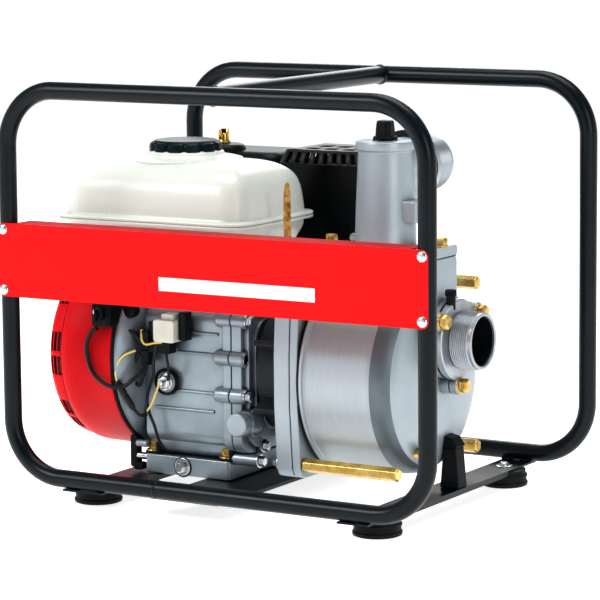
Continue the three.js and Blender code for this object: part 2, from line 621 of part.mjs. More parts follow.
place('crankcase', CAST, crankcase());
place('crankcase_cover', CAST, crankcaseCover());
place('cylinder_head', CAST, cylinderHead());
place('fan_cover', RED_PAINT, fanCover());
place('recoil_cover', RED_PAINT, recoilCover());
place('starter_reel', BLACK_PLASTIC, starterReel());
place('starter_grip', RUBBER, starterGrip());
place('crankshaft', STEEL, crankshaft());
place('flywheel', CAST, flywheel());
place('piston', CAST, piston());
place('switch_box', BLACK_PLASTIC, switchBox());
place('switch_knob', BLACK_PLASTIC, switchKnob());
place('oil_alert_unit', CREAM_PLASTIC, oilAlertUnit());
place('oil_filler_cap', CAST, oilFillerCap());
place('tank_upper', WHITE_PLASTIC, tankUpper());
place('tank_lower', WHITE_PLASTIC, tankLower());
place('fuel_cap', BLACK_PLASTIC, fuelCap());
place('air_cleaner_base', BLACK_PLASTIC, airCleanerBase());
place('air_cleaner_cover', BLACK_PLASTIC, airCleanerCover());
place('air_cleaner_nut', ZINC, airCleanerNut());
place('carburettor', CAST, carburettor());
place('throttle_lever', STEEL, lever([-170, 100, 236], [-196, 0, 245], 3));
place('choke_lever', BLACK_PLASTIC, lever([-170, 100, 220], [-198, 0, 220], 3));
place('fuel_valve_lever', BLACK_PLASTIC, lever([-170, 100, 204], [-196, 0, 195], 3));
place('governor_arm', ZINC, governorArm());
place('muffler', HOT_BLACK, muffler());
place('heat_shield', HOT_BLACK, heatShield());
place('switch_cable', RUBBER, smoothTube([[-186, -116.5, 176], [-194, -116.5, 170], [-200, -116.5, 156], [-198, -116.5, 140],
  [-191, -116.5, 126], [-179, -116.5, 117], [-168, -115, 113.7], [-156, -110, 115], [-149, -106, 121]], 2.4, 8, 16));
place('sensor_wire', RUBBER, smoothTube([[-126, -92, 161], [-128, -92, 150], [-131, -91, 138], [-132, -90, 126],
  [-138, -89, 112], [-142, -88, 98], [-141, -86, 84], [-136, -84, 70], [-133, -82, 56]], 1.6, 8, 16));

place('pump_bracket', CAST, pumpBracket());
place('pump_back_plate', CAST, pumpBackPlate());
place('pump_casing', BRUSHED, pumpCasing());
place('volute', CAST, volute());
place('impeller', CAST, impeller());
place('shaft_seal', RUBBER, shaftSeal());
place('priming_plug', BLACK_PLASTIC, primingPlug());
place('discharge_port', CAST, dischargePort());
place('suction_port', CAST, suctionPort());
place('check_flap', RUBBER, checkFlap());
place('drain_plug', ZINC, drainPlug());
for (const [side, y] of [['near', -ROD.y], ['far', ROD.y]]) {
  place(`tie_rod_low_${side}`, ZINC, tieRod(y, ROD.low));
  place(`tie_rod_high_${side}`, ZINC, tieRod(y, ROD.high));
}

// Heights are measured from a line above the ground, so the finished pump is lifted onto its feet.
group.position.z = -FOOT.low;

export default group;
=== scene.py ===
"""Portable fire pump: the looks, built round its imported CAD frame.

Sizes are in millimetres in the frame's own axes (+X along the shaft to the suction port, -Y to the
red panel, +Z up, ground at 0) and become metres as each mesh is made. The camera, lights and floor
are placed in metres.
"""

from math import cos, hypot, pi, radians, sin

import bmesh
import bpy
from mathutils import Matrix, Vector


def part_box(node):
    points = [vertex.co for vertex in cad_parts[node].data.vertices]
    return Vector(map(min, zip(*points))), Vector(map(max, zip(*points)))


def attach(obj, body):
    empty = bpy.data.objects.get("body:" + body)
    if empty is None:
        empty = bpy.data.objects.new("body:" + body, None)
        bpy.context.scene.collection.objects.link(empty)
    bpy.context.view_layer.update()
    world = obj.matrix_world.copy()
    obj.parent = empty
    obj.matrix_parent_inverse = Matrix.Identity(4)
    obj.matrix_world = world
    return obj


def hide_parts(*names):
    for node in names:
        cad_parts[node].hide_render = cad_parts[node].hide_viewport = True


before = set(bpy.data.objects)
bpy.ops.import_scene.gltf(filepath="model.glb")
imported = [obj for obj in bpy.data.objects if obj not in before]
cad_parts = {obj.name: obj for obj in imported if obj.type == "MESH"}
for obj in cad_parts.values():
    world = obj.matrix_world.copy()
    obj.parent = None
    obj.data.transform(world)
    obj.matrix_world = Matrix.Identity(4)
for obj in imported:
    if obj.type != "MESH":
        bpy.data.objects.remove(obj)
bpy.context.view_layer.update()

MM = 0.001
TUBE_R = 9.5                     # frame tube
HOOP = {"x": 250.6, "y": 181.7, "low": 30.0, "top": 440.0, "bend": 60.0}   # tube centrelines
WELD_X = -68.0                   # each hoop's closing weld, on its bottom run
SHAFT_Z = 139.5                  # crankshaft and pump axis
FAN = (0.0, -6.0, 146.0)         # the shroud sits a little off the shaft
SUCTION_Z = 181.0
DISCHARGE_Z = 354.0
TOWER_X = 103.0                  # discharge tower
SHAFT = (0, 0, SHAFT_Z)
SUCTION = (0, 0, SUCTION_Z)
DISCHARGE = (TOWER_X, 0, DISCHARGE_Z)
SENSOR = (-124, 0, 123)          # oil level sensor
FILLER = (-28, 0, 86)            # oil filler neck
STUD = (-158, 98, 0)             # air cleaner's stud
DRAIN_X = -107.7                 # oil drain bolt


def span(node):
    """A CAD node's box in millimetres: x0, x1, y0, y1, z0, z1."""
    low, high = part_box(node)
    return tuple(v / MM for pair in zip(low, high) for v in pair)


def centre(node):
    """The middle of a CAD node's box in millimetres."""
    x0, x1, y0, y1, z0, z1 = span(node)
    return (x0 + x1) / 2, (y0 + y1) / 2, (z0 + z1) / 2


# ---- materials
def surface(name, colour, metallic=0.0, rough=0.4, tint=0.06, patch=40.0, grain=900.0, bump=0.05,
        stretch=(1, 1, 1), rough_spread=0.06, soil_and_shade=0.0, second=None, shine=0.5, soft=0.0, glow=0.0):
    """Principled finish: patchy colour, fine grain in the bump and roughness, optional painted shade in
    recesses from ambient occlusion, meant as grime too.
    """
    material = bpy.data.materials.new(name)
    material.use_nodes = True
    nodes, links = material.node_tree.nodes, material.node_tree.links
    shader = nodes["Principled BSDF"]
    coords = nodes.new("ShaderNodeTexCoord")
    mapping = nodes.new("ShaderNodeMapping")
    mapping.inputs["Scale"].default_value = stretch
    links.new(coords.outputs["Object"], mapping.inputs["Vector"])

    def noise(scale, detail=4.0):
        node = nodes.new("ShaderNodeTexNoise")
        node.inputs["Scale"].default_value = scale
        node.inputs["Detail"].default_value = detail
        links.new(mapping.outputs["Vector"], node.inputs["Vector"])
        return node.outputs["Fac"]

    def ramp(factor, low, high, first=0.3, last=0.7):
        node = nodes.new("ShaderNodeValToRGB")
        node.color_ramp.elements[0].position = first
        node.color_ramp.elements[1].position = last
        node.color_ramp.elements[0].color = (*low, 1)
        node.color_ramp.elements[1].color = (*high, 1)
        links.new(factor, node.inputs["Fac"])
        return node.outputs["Color"]

    dark = tuple(c * (1 - tint) for c in colour)
    light = tuple(min(1.0, c * (1 + tint)) for c in colour) if second is None else second
    tone = ramp(noise(patch), dark, light)
    # Painted shade: ambient occlusion darkens the colour in recesses and creases, down to near black at full
    # strength; it stands for grime as well.
    if soil_and_shade:
        recess = nodes.new("ShaderNodeAmbientOcclusion")
        recess.samples = 4
        recess.inputs["Distance"].default_value = 0.016
        occlusion_mix = nodes.new("ShaderNodeMix")
        occlusion_mix.data_type = "RGBA"
        occlusion_mix.blend_type = "MULTIPLY"
        occlusion_mix.inputs["Factor"].default_value = soil_and_shade
        links.new(tone, occlusion_mix.inputs["A"])
        links.new(ramp(recess.outputs["AO"], (0.08, 0.09, 0.10), (1, 1, 1), 0.25, 0.85), occlusion_mix.inputs["B"])
        tone = occlusion_mix.outputs["Result"]
    links.new(tone, shader.inputs["Base Color"])
    fine = noise(grain, 6.0)
    gloss = nodes.new("ShaderNodeMapRange")
    gloss.inputs["To Min"].default_value = max(0.02, rough - rough_spread)
    gloss.inputs["To Max"].default_value = min(1.0, rough + rough_spread)
    links.new(fine, gloss.inputs["Value"])
    links.new(gloss.outputs["Result"], shader.inputs["Roughness"])
    height = nodes.new("ShaderNodeBump")
    height.inputs["Strength"].default_value = min(1.0, bump * 4)
    height.inputs["Distance"].default_value = bump * MM
    links.new(fine, height.inputs["Height"])
    links.new(height.outputs["Normal"], shader.inputs["Normal"])
    shader.inputs["Metallic"].default_value = metallic
    shader.inputs["Specular IOR Level"].default_value = shine
    if glow:
        shader.inputs["Emission Color"].default_value = (1, 1, 1, 1)
        shader.inputs["Emission Strength"].default_value = glow
    if soft:
        shader.inputs["Subsurface Weight"].default_value = soft
        shader.inputs["Subsurface Radius"].default_value = (0.02, 0.02, 0.016)
    return material


# Finishes given a recess strength get painted shade in their recesses, which also stands for grime.
TUBE_PAINT = surface("tube_paint", (0.0008, 0.004, 0.006), 0.0, 0.30, 0.3, 25, 700, 0.04, shine=0.16)
RED_PANEL = surface("red_panel_paint", (0.74, 0.001, 0.002), 0.0, 0.5, 0.04, 12, 600, 0.03, shine=0.10)
# Painted shade: a darker copy of the panel red for the folded lips, standing for the shade on them.
RED_EDGE_SHADE = surface("red_panel_edge_shade", (0.44, 0.001, 0.002), 0.0, 0.6, 0.06, 12, 600, 0.03, shine=0.04)
WHITE_PRINT = surface("white_print", (0.86, 0.82, 0.80), 0.0, 0.45, 0.03, 30, 900, 0.02, shine=0.2)
RED_SHROUD = surface("red_shroud_paint", (0.62, 0.003, 0.007), 0.0, 0.40, 0.10, 18, 500, 0.06,
        soil_and_shade=0.8, shine=0.06)
CAST = surface("cast_aluminium", (0.27, 0.33, 0.37), 0.60, 0.34, 0.14, 30, 850, 0.16, soil_and_shade=1.0)
CAST_DARK = surface("cast_in_shade", (0.010, 0.015, 0.018), 0.2, 0.55, 0.3, 40, 700, 0.16,
        soil_and_shade=0.9, shine=0.3)
PUMP_CAST = surface("pump_casting", (0.36, 0.42, 0.46), 0.40, 0.36, 0.08, 25, 900, 0.12, soil_and_shade=0.85)
DRUM_FINISH = surface("turned_drum", (0.40, 0.45, 0.48), 0.55, 0.42, 0.06, 60, 120, 0.03, (14, 0.6, 0.6),
        rough_spread=0.06)
# Painted shade: a dark copy of the drum's metal for the shoulder band, standing for the dark band where the
# drum turns into its face.
SHOULDER_SHADE = surface("shoulder_painted_shade", (0.12, 0.15, 0.17), 0.55, 0.42, 0.08, 40, 500, 0.04)
BRIGHT = surface("bright_steel", (0.66, 0.68, 0.70), 0.95, 0.24, 0.08, 90, 1200, 0.04, soil_and_shade=0.7)
THREAD = surface("cut_thread", (0.40, 0.44, 0.47), 0.75, 0.34, 0.08, 90, 1200, 0.05, soil_and_shade=0.9)
IRON = surface("grey_iron", (0.22, 0.22, 0.23), 0.7, 0.5, 0.15, 40, 700, 0.15, soil_and_shade=0.6)
ZINC = surface("yellow_zinc", (0.74, 0.42, 0.08), 0.80, 0.28, 0.2, 70, 900, 0.05,
        second=(0.95, 0.68, 0.22), soil_and_shade=0.7)
ZINC_WORN = surface("worn_yellow_zinc", (0.20, 0.07, 0.01), 0.6, 0.38, 0.2, 150, 900, 0.05,
        second=(0.85, 0.48, 0.12), soil_and_shade=0.5)
BRASS = surface("turned_brass", (0.74, 0.46, 0.10), 0.95, 0.26, 0.12, 90, 1200, 0.04, soil_and_shade=0.7)
RUBBER = surface("moulded_rubber", (0.003, 0.004, 0.005), 0.0, 0.60, 0.2, 60, 1400, 0.10, shine=0.12)
PLASTIC = surface("black_plastic", (0.002, 0.004, 0.005), 0.0, 0.40, 0.2, 60, 2200, 0.05, shine=0.09)
CAP_PLASTIC = surface("cap_plastic", (0.002, 0.008, 0.011), 0.0, 0.34, 0.2, 60, 2200, 0.03, shine=0.07)
CREAM = surface("cream_plastic", (0.80, 0.84, 0.72), 0.0, 0.42, 0.08, 60, 1500, 0.05, soil_and_shade=0.4, shine=0.3)
TANK = surface("milky_tank", (0.80, 0.84, 0.76), 0.0, 0.26, 0.02, 14, 260, 0.03, soft=0.10,
        soil_and_shade=0.5, shine=0.5)
HOT_BLACK = surface("heat_resistant_black", (0.002, 0.003, 0.004), 0.0, 0.42, 0.3, 50, 900, 0.12, shine=0.18)
CABLE = surface("cable_sleeve", (0.002, 0.003, 0.004), 0.0, 0.40, 0.2, 60, 1500, 0.05, shine=0.25)
YELLOW_WIRE = surface("yellow_wire", (0.86, 0.68, 0.16), 0.0, 0.45, 0.1, 60, 1500, 0.03)
FLOOR = surface("floor", (0.86, 0.86, 0.86), 0.0, 0.85, 0.005, 2, 30, 0.01, shine=0.0, glow=0.80)


# ---- mesh kit
def basis(along):
    """Columns u, v, t for a direction, which is an axis letter or a vector."""
    if along == "x":
        return Matrix(((0, 0, 1), (1, 0, 0), (0, 1, 0)))
    if along == "y":
        return Matrix(((1, 0, 0), (0, 0, 1), (0, 1, 0)))
    if along == "z":
        return Matrix.Identity(3)
    t = Vector(along).normalized()
    u = Vector((1, 0, 0)) if abs(t.x) < 0.9 else Vector((0, 1, 0))
    u = (u - t * u.dot(t)).normalized()
    return Matrix((u, t.cross(u), t)).transposed()


def rounded(a0, a1, b0, b1, r, steps=6):
    """A rounded rectangle's outline, as (a, b) points."""
    corners = [(a1 - r, b0 + r, -90), (a1 - r, b1 - r, 0), (a0 + r, b1 - r, 90), (a0 + r, b0 + r, 180)]
    return [(a + r * cos(radians(turn + 90 * i / steps)), b + r * sin(radians(turn + 90 * i / steps)))
            for a, b, turn in corners for i in range(steps + 1)]


def smooth_path(points, steps=8):
    """A Catmull-Rom curve through the points."""
    points = [Vector(p) for p in points]
    count = len(points)
    out = []
    for i in range(count - 1):
        b, c = points[i], points[i + 1]
        a = points[i - 1] if i else b * 2 - c
        d = points[i + 2] if i + 2 < count else c * 2 - b
        for k in range(steps):
            t = k / steps
            out.append(0.5 * (2 * b + (c - a) * t + (2 * a - 5 * b + 4 * c - d) * t * t
                    + (3 * b - a - 3 * c + d) * t ** 3))
    out.append(points[-1])
    return out


class Piece:
    """Gathers shells in millimetres and finishes them as one object."""

    def __init__(self, name, material, slot, body="frame", replaces=()):
        self.name, self.material, self.slot, self.body = name, material, slot, body
        self.replaces = replaces
        self.verts, self.faces = [], []

    def add(self, verts, faces):
        start = len(self.verts)
        self.verts += [tuple(v) for v in verts]
        self.faces += [tuple(start + i for i in f) for f in faces]

    def grid(self, rings, loop=True, ends=True, skip=None):
        """Skins rings of equal length, each a list of points. skip(row, cell) leaves a cell open."""
        n = len(rings[0])
        faces = []
        for k in range(len(rings) - 1):
            for i in range(n if loop else n - 1):
                if skip and skip(k, i):
                    continue
                j = (i + 1) % n
                faces.append((k * n + i, k * n + j, (k + 1) * n + j, (k + 1) * n + i))
        if ends:
            faces.append(tuple(range(n)))
            faces.append(tuple((len(rings) - 1) * n + i for i in range(n)))
        self.add([p for ring in rings for p in ring], faces)

    def lathe(self, along, at, profile, sides=64, shape=None, turn=0.0):
        """Profile is (radius, distance along) pairs. shape(angle, radius) may vary the radius."""
        m, at = basis(along), Vector(at)
        rings, poles = [], []
        for r, t in profile:
            angles = [2 * pi * i / sides + turn for i in range(sides)]
            radii = [shape(a, r) if shape else r for a in angles]
            rings.append([at + m @ Vector((q * cos(a), q * sin(a), t)) for a, q in zip(angles, radii)])
            poles.append(r < 1e-6)
        closed = profile[0] == profile[-1]
        start = len(self.verts)
        self.verts += [tuple(p) for ring in rings for p in ring]
        for k in range(len(rings) - 1):
            for i in range(sides):
                j = (i + 1) % sides
                a, b = start + k * sides, start + (k + 1) * sides
                quad = (a + i, a + j, b + j, b + i)
                if poles[k]:
                    quad = (a + i, b + j, b + i)
                elif poles[k + 1]:
                    quad = (a + i, a + j, b + i)
                self.faces.append(quad)
        if not closed:
            for k, flat in ((0, poles[0]), (len(rings) - 1, poles[-1])):
                if not flat:
                    self.faces.append(tuple(start + k * sides + i for i in range(sides)))

    def tube(self, points, r, sides=16, closed=False):
        """A round tube through the points. r is a number, or a function of the way along from 0 to 1."""
        points = [Vector(p) for p in points]
        n = len(points)
        normal, rings = None, []
        for i, p in enumerate(points):
            before = points[i - 1] if i or closed else p
            after = points[(i + 1) % n] if i + 1 < n or closed else p
            t = (after - before).normalized()
            if normal is None:
                normal = t.cross(Vector((0, 1, 0)))
                if normal.length < 0.1:
                    normal = t.cross(Vector((1, 0, 0)))
            normal = (normal - t * normal.dot(t)).normalized()
            side = t.cross(normal)
            radius = r(i / (n - 1)) if callable(r) else r
            rings.append([p + radius * (cos(2 * pi * k / sides) * normal + sin(2 * pi * k / sides) * side)
                    for k in range(sides)])
        if closed:
            rings.append(rings[0])
        self.grid(rings, ends=not closed)

    def slab(self, along, outline, a, b):
        """A closed prism. Outline points are (y, z), (x, z) or (x, y) for along x, y or z."""
        m = basis(along)
        self.grid([[m @ Vector((p[0], p[1], t)) for p in outline] for t in (a, b)])

    def slanted(self, at, along, u0, u1, v0, v1, t0, t1):
        """A box measured from a point along the axes that basis gives."""
        m, at = basis(along), Vector(at)
        corners = [(u0, v0), (u1, v0), (u1, v1), (u0, v1)]
        self.grid([[at + m @ Vector((u, v, t)) for u, v in corners] for t in (t0, t1)])

    def bolt(self, at, along, flats, height, washer=0.0, turn=0.4):
        """Hexagon head with a chamfered crown, on a washer when one is asked for."""
        r = flats / 2 / cos(pi / 6)
        if washer:
            self.lathe(along, at, [(0, 0), (washer, 0), (washer, 1.0), (washer - 0.4, 1.4), (0, 1.4)], 28)
        low = 1.4 if washer else 0.0
        self.lathe(along, at, [(0, low), (r, low), (r, low + height * 0.8)], 6, turn=turn)
        self.lathe(along, at, [(r, low + height * 0.8), (r * 0.82, low + height), (0, low + height)], 6,
                turn=turn)

    def finish(self, bevel=0.5, segments=2, sharp=38, thickness=0.0):
        """Makes the object: a merged, shaded mesh with its modifiers, body and replaced nodes."""
        mesh = bpy.data.meshes.new(self.name)
        mesh.from_pydata([Vector(v) * MM for v in self.verts], [], self.faces)
        bm = bmesh.new()
        bm.from_mesh(mesh)
        bmesh.ops.remove_doubles(bm, verts=bm.verts, dist=1e-6)
        bmesh.ops.dissolve_degenerate(bm, edges=bm.edges, dist=1e-7)
        loose = [v for v in bm.verts if not v.link_faces]
        bmesh.ops.delete(bm, geom=loose, context="VERTS")
        bmesh.ops.recalc_face_normals(bm, faces=bm.faces)
        for face in bm.faces:
            face.smooth = True
        for edge in bm.edges:
            edge.smooth = len(edge.link_faces) != 2 or edge.calc_face_angle(0) < radians(sharp)
        bm.to_mesh(mesh)
        bm.free()
        mesh.materials.append(self.material)
        obj = bpy.data.objects.new(self.name, mesh)
        bpy.context.scene.collection.objects.link(obj)
        if thickness:
            skin = obj.modifiers.new("sheet", "SOLIDIFY")
            skin.thickness = thickness * MM
            skin.offset = -1
        if bevel:
            soften(obj, bevel, segments)
        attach(obj, self.body)
        if self.replaces:
            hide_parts(*self.replaces)


def soften(obj, width, segments=2):
    """Rounded edges from a bevel, shaded by weighted normals."""
    edge = obj.modifiers.new("edges", "BEVEL")
    edge.width = width * MM
    edge.segments = segments
    edge.limit_method = "ANGLE"
    edge.angle_limit = radians(38)
    edge.use_clamp_overlap = True
    edge.miter_outer = "MITER_ARC"
    shade = obj.modifiers.new("shading", "WEIGHTED_NORMAL")
    shade.keep_sharp = True


def keep(node, material, width):
    """A CAD node whose shape is right: it gets a real finish and softened edges."""
    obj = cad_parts[node]
    obj.data.materials.clear()
    obj.data.materials.append(material)
    soften(obj, width)


# ---- camera, light, floor
def camera():
    """The long view of the panel side, from the pump's end."""
    azimuth, elevation, roll = radians(30.857), radians(8.18), radians(-0.507)
    place = Vector((1.61099953, -2.70028122, 0.66183945))
    ahead = Vector((-sin(azimuth) * cos(elevation), cos(azimuth) * cos(elevation), -sin(elevation)))
    right = Vector((cos(azimuth), sin(azimuth), 0))
    up = right.cross(ahead)
    across = cos(roll) * right + sin(roll) * up
    upward = -sin(roll) * right + cos(roll) * up
    data = bpy.data.cameras.new("camera")
    data.sensor_width = 36
    data.lens = 178.36
    data.clip_end = 100
    obj = bpy.data.objects.new("camera", data)
    m = Matrix((across, upward, -ahead)).transposed().to_4x4()
    m.translation = place
    obj.matrix_world = m
    bpy.context.scene.collection.objects.link(obj)
    bpy.context.scene.camera = obj


def softbox(name, place, target, size, power):
    data = bpy.data.lights.new(name, "AREA")
    data.shape = "RECTANGLE"
    data.size, data.size_y = size
    data.energy = power
    obj = bpy.data.objects.new(name, data)
    obj.location = place
    obj.rotation_euler = (Vector(target) - Vector(place)).to_track_quat("-Z", "Y").to_euler()
    bpy.context.scene.collection.objects.link(obj)


def studio():
    world = bpy.data.worlds.new("studio")
    world.use_nodes = True
    nodes, links = world.node_tree.nodes, world.node_tree.links
    coords = nodes.new("ShaderNodeTexCoord")
    split = nodes.new("ShaderNodeSeparateXYZ")
    links.new(coords.outputs["Generated"], split.inputs[0])

    def ramp(value, stops):
        shade = nodes.new("ShaderNodeValToRGB")
        elements = shade.color_ramp.elements
        while len(elements) < len(stops):
            elements.new(0.5)
        for element, (position, level) in zip(elements, stops):
            element.position, element.color = position, (level, level * 1.02, level * 1.05, 1)
        links.new(value, shade.inputs["Fac"])
        return shade.outputs["Color"]

    height = ramp(split.outputs["Z"], ((0.0, 1.0), (0.10, 0.95), (0.34, 0.20), (1.0, 0.28)))
    side = nodes.new("ShaderNodeVectorMath")
    side.operation = "DOT_PRODUCT"
    side.inputs[1].default_value = (0.80, -0.60, 0.0)
    links.new(coords.outputs["Generated"], side.inputs[0])
    shadow = ramp(side.outputs["Value"], ((0.0, 1.0), (0.55, 0.9), (0.72, 0.12), (0.93, 0.12), (1.0, 0.9)))
    blend = nodes.new("ShaderNodeMix")
    blend.data_type = "RGBA"
    blend.blend_type = "MULTIPLY"
    blend.inputs["Factor"].default_value = 1.0
    links.new(height, blend.inputs["A"])
    links.new(shadow, blend.inputs["B"])
    links.new(blend.outputs["Result"], nodes["Background"].inputs["Color"])
    nodes["Background"].inputs["Strength"].default_value = 1.0
    bpy.context.scene.world = world
    middle = (0, 0, 0.22)
    softbox("key", (-1.5, -2.3, 1.9), middle, (1.2, 1.0), 54)
    softbox("fill", (2.7, -1.3, 1.2), middle, (0.8, 1.4), 22)
    softbox("top", (0.1, 0.2, 2.4), middle, (1.8, 1.2), 40)
    softbox("rim", (-1.2, 2.4, 1.5), middle, (1.6, 1.0), 26)
    mesh = bpy.data.meshes.new("floor")
    half = 30                    # metres
    mesh.from_pydata([(-half, -half, 0), (half, -half, 0), (half, half, 0), (-half, half, 0)], [],
            [(0, 1, 2, 3)])
    mesh.materials.append(FLOOR)
    floor = bpy.data.objects.new("floor", mesh)
    bpy.context.scene.collection.objects.link(floor)
    bpy.context.scene.view_settings.view_transform = "Standard"


# ---- frame
def hoop_path(y, steps=18):
    """A hoop's centreline: four quarter bends, which the straights join."""
    x, low, top, bend = HOOP["x"], HOOP["low"], HOOP["top"], HOOP["bend"]
    corners = [(x - bend, low + bend), (x - bend, top - bend), (bend - x, top - bend), (bend - x, low + bend)]
    path = []
    for k, (cx, cz) in enumerate(corners):
        for i in range(steps + 1):
            a = (k - 1 + i / steps) * pi / 2
            path.append((cx + bend * cos(a), y, cz + bend * sin(a)))
    return path


def build_frame():
    for side, y in (("near", -HOOP["y"]), ("far", HOOP["y"])):
        piece = Piece(f"{side}_hoop_tube", TUBE_PAINT, "frame_black", replaces=[f"{side}_hoop"])
        piece.tube(hoop_path(y), TUBE_R, 32, closed=True)
        piece.lathe("x", (WELD_X, y, HOOP["low"]), [(9.2, -2.2), (9.7, -1.5), (10.0, 0), (9.7, 1.5),
                (9.2, 2.2)], 32, shape=lambda a, r: r + 0.12 * sin(23 * a))
        piece.finish(bevel=0)
    piece = Piece("carry_tube", TUBE_PAINT, "frame_black", replaces=["top_cross_tube"])
    reach = HOOP["y"] - 6
    at = (0, 0, HOOP["top"])
    piece.lathe("y", at, [(TUBE_R, -reach), (TUBE_R, reach)], 32)
    for end in (-1, 1):
        edge = HOOP["y"] - TUBE_R
        piece.lathe("y", at, [(TUBE_R, end * (edge - 4)), (TUBE_R + 1.2, end * (edge - 2)),
                (TUBE_R + 1.8, end * edge), (TUBE_R, end * (edge + 3))], 32,
                shape=lambda a, r: r + 0.15 * sin(19 * a))
    piece.finish(bevel=0)
    for node in ("member_left", "member_middle", "member_right"):
        keep(node, TUBE_PAINT, 0.5)
        x0, x1, y0, y1, z0, z1 = span(node)
        welds = Piece(f"{node}_welds", TUBE_PAINT, "frame_black")
        for y in (-HOOP["y"], HOOP["y"]):
            side = 1 if y < 0 else -1
            for x in (x0 + 7, x1 - 7):
                welds.tube([(x - 7, y + side * 5.4, z1 + 1.0), (x, y + side * 5.6, z1 + 1.2),
                        (x + 7, y + side * 5.4, z1 + 1.0)], lambda t: 1.3 + 0.5 * sin(pi * t), 10)
        welds.finish(bevel=0)
    for row in ("near", "far"):
        for side in ("left", "right"):
            node = f"foot_{row}_{side}"
            x, y = centre(node)[:2]
            z1 = span(node)[5]
            foot = Piece(f"rubber_{node}", RUBBER, "rubber_black", replaces=[node])
            foot.lathe("z", (x, y, 0), [(0, 3), (7, 3), (8, 0), (23, 0), (25, 0.8), (25.6, 2.2), (25.6, 4.5),
                    (24.4, 5.4), (24.2, 9.6), (25.2, 10.6), (25.2, 12.4), (23.6, 13.2), (23.2, z1), (0, z1)],
                    64)
            foot.finish(bevel=0)
            screw = Piece(f"screw_{node}", BRIGHT, "steel")
            screw.lathe("z", (x, y, 20.2), [(0, 0), (9, 0), (9, 1), (6, 1.4), (5.6, 3), (4, 4.4), (2, 5),
                    (1.6, 3.4), (0, 3.4)], 28)
            screw.finish(bevel=0)


def build_panel():
    x0, x1, y0, y1, z0, z1 = span("front_panel")
    sheet, lip = 1.5, HOOP["x"] - TUBE_R - 4
    deep = y1 + 16               # the lips run further back here than in the CAD
    plate = Piece("panel_face", RED_PANEL, "panel_red", replaces=["front_panel"])
    plate.slab("y", rounded(x0, x1, z0, z1, 7, 8), y0, y0 + sheet)
    plate.finish(0.3)
    # The lips take the darker red, a painted shade.
    lips = Piece("panel_lips", RED_EDGE_SHADE, "panel_red")

    def fold(r):
        """A quarter turn from the face into a lip, r from the bend's centre."""
        turns = [radians(15 * i) for i in range(7)]
        return [(y0 + 2 - r * cos(a), edge + inward * (2 - r * sin(a))) for a in turns]

    for edge, inward in ((z1, -1), (z0, 1)):
        inner = [(deep, edge), (deep, edge + inward * sheet)]
        lips.slab("x", fold(2) + inner + fold(0.5)[::-1], -lip, lip)
    lips.finish(0.15)
    stripe = Piece("panel_stripe", WHITE_PRINT, "tank_white")
    stripe.slab("y", [(-55, 240.5), (130, 240.5), (130, 254.5), (-55, 254.5)], y0 - 0.12, y0 + 0.3)
    stripe.finish(0)
    for high in ("low", "top"):
        for side in ("left", "right"):
            node = f"panel_screw_{high}_{side}"
            x, z = centre(node)[::2]
            screw = Piece(f"dome_{node}", BRIGHT, "steel", replaces=[node])
            dome = [(5.7 * sin(radians(a)), -2.5 * cos(radians(a))) for a in range(0, 91, 9)]
            screw.lathe("y", (x, y0, z), dome + [(5.7, 0), (2.2, 0.1), (2.2, 8), (0, 8)], 32)
            screw.finish(bevel=0)


# ---- tank and cap
def loft(piece, outline, levels):
    """Rings of one outline, drawn in by each level's inset: levels are (z, inset)."""
    xs, ys = [p[0] for p in outline], [p[1] for p in outline]
    cx, cy = (min(xs) + max(xs)) / 2, (min(ys) + max(ys)) / 2
    wide, deep = (max(xs) - min(xs)) / 2, (max(ys) - min(ys)) / 2
    rings = [[(cx + (x - cx) * (1 - inset / wide), cy + (y - cy) * (1 - inset / deep), z) for x, y in outline]
            for z, inset in levels]
    piece.grid(rings)


def eased(points, steps):
    """A smooth profile through pairs of numbers."""
    return [(p.x, p.y) for p in smooth_path([(a, b, 0) for a, b in points], steps)]


def build_tank():
    x0, x1, y0, y1, z0, z1 = span("tank_upper")
    outline = rounded(x0, x1, y0, y1, 28, 12)
    upper = Piece("tank_top_shell", TANK, "tank_white", replaces=["tank_upper"])
    side = eased([(300.6, 7.5), (312, 8.5), (326, 10.5), (337, 14), (345, 20), (351.5, 30), (355.5, 42),
            (358, 58), (359.2, 74)], 4)
    loft(upper, outline, [(296.4, 0.6), (297.0, 0), (298.9, 0), (299.5, 0.6), (299.7, 6.4)] + side)
    neck_at = (centre("fuel_cap")[0], 0, 0)
    neck = eased([(62, 356.5), (54, 358.6), (46, 359.8), (42.5, 361.5), (41, 364), (38, 365.8),
            (33.4, 366.4)], 3)
    upper.lathe("z", neck_at, [(0, 340), (62, 340)] + neck + [(22, 367), (22, 350), (0, 350)], 72)
    upper.finish(0.0, sharp=50)
    lower = Piece("tank_bottom_shell", TANK, "tank_white", replaces=["tank_lower"])
    base = eased([(291, 8), (284, 9), (277, 12), (268, 17), (260, 25), (255, 34), (253.9, 42)], 4)
    loft(lower, outline, [(295.9, 0.6), (295.3, 0), (293.4, 0), (292.8, 0.6), (292.6, 7)] + base)
    for x, y, low in ((-34, -30, 210), (-34, 26, 210), (-226, -10, 255)):
        lower.slab("z", rounded(x - 8, x + 8, y - 6, y + 6, 2.5, 3), low, 270)
    lower.finish(0.0, sharp=50)
    cap = Piece("ribbed_fuel_cap", CAP_PLASTIC, "plastic_black", "fuel_cap", ["fuel_cap"])
    lobes = 12

    def scallop(a, r):
        return r - (2.6 * max(0.0, cos(lobes * a)) ** 3 if r > 36 else 0.0)

    cap.lathe("z", neck_at, [(34.4, 366.8), (34.4, 359.6), (38.6, 359.2), (39.4, 360.2), (39.7, 362),
            (39.7, 370.6), (39.0, 372.8), (37.4, 374.2), (35.4, 374.6), (34.8, 375.4), (33, 376.4),
            (30, 376.8), (12, 377), (0, 377)], 144, shape=scallop)
    cap.finish(bevel=0, sharp=40)


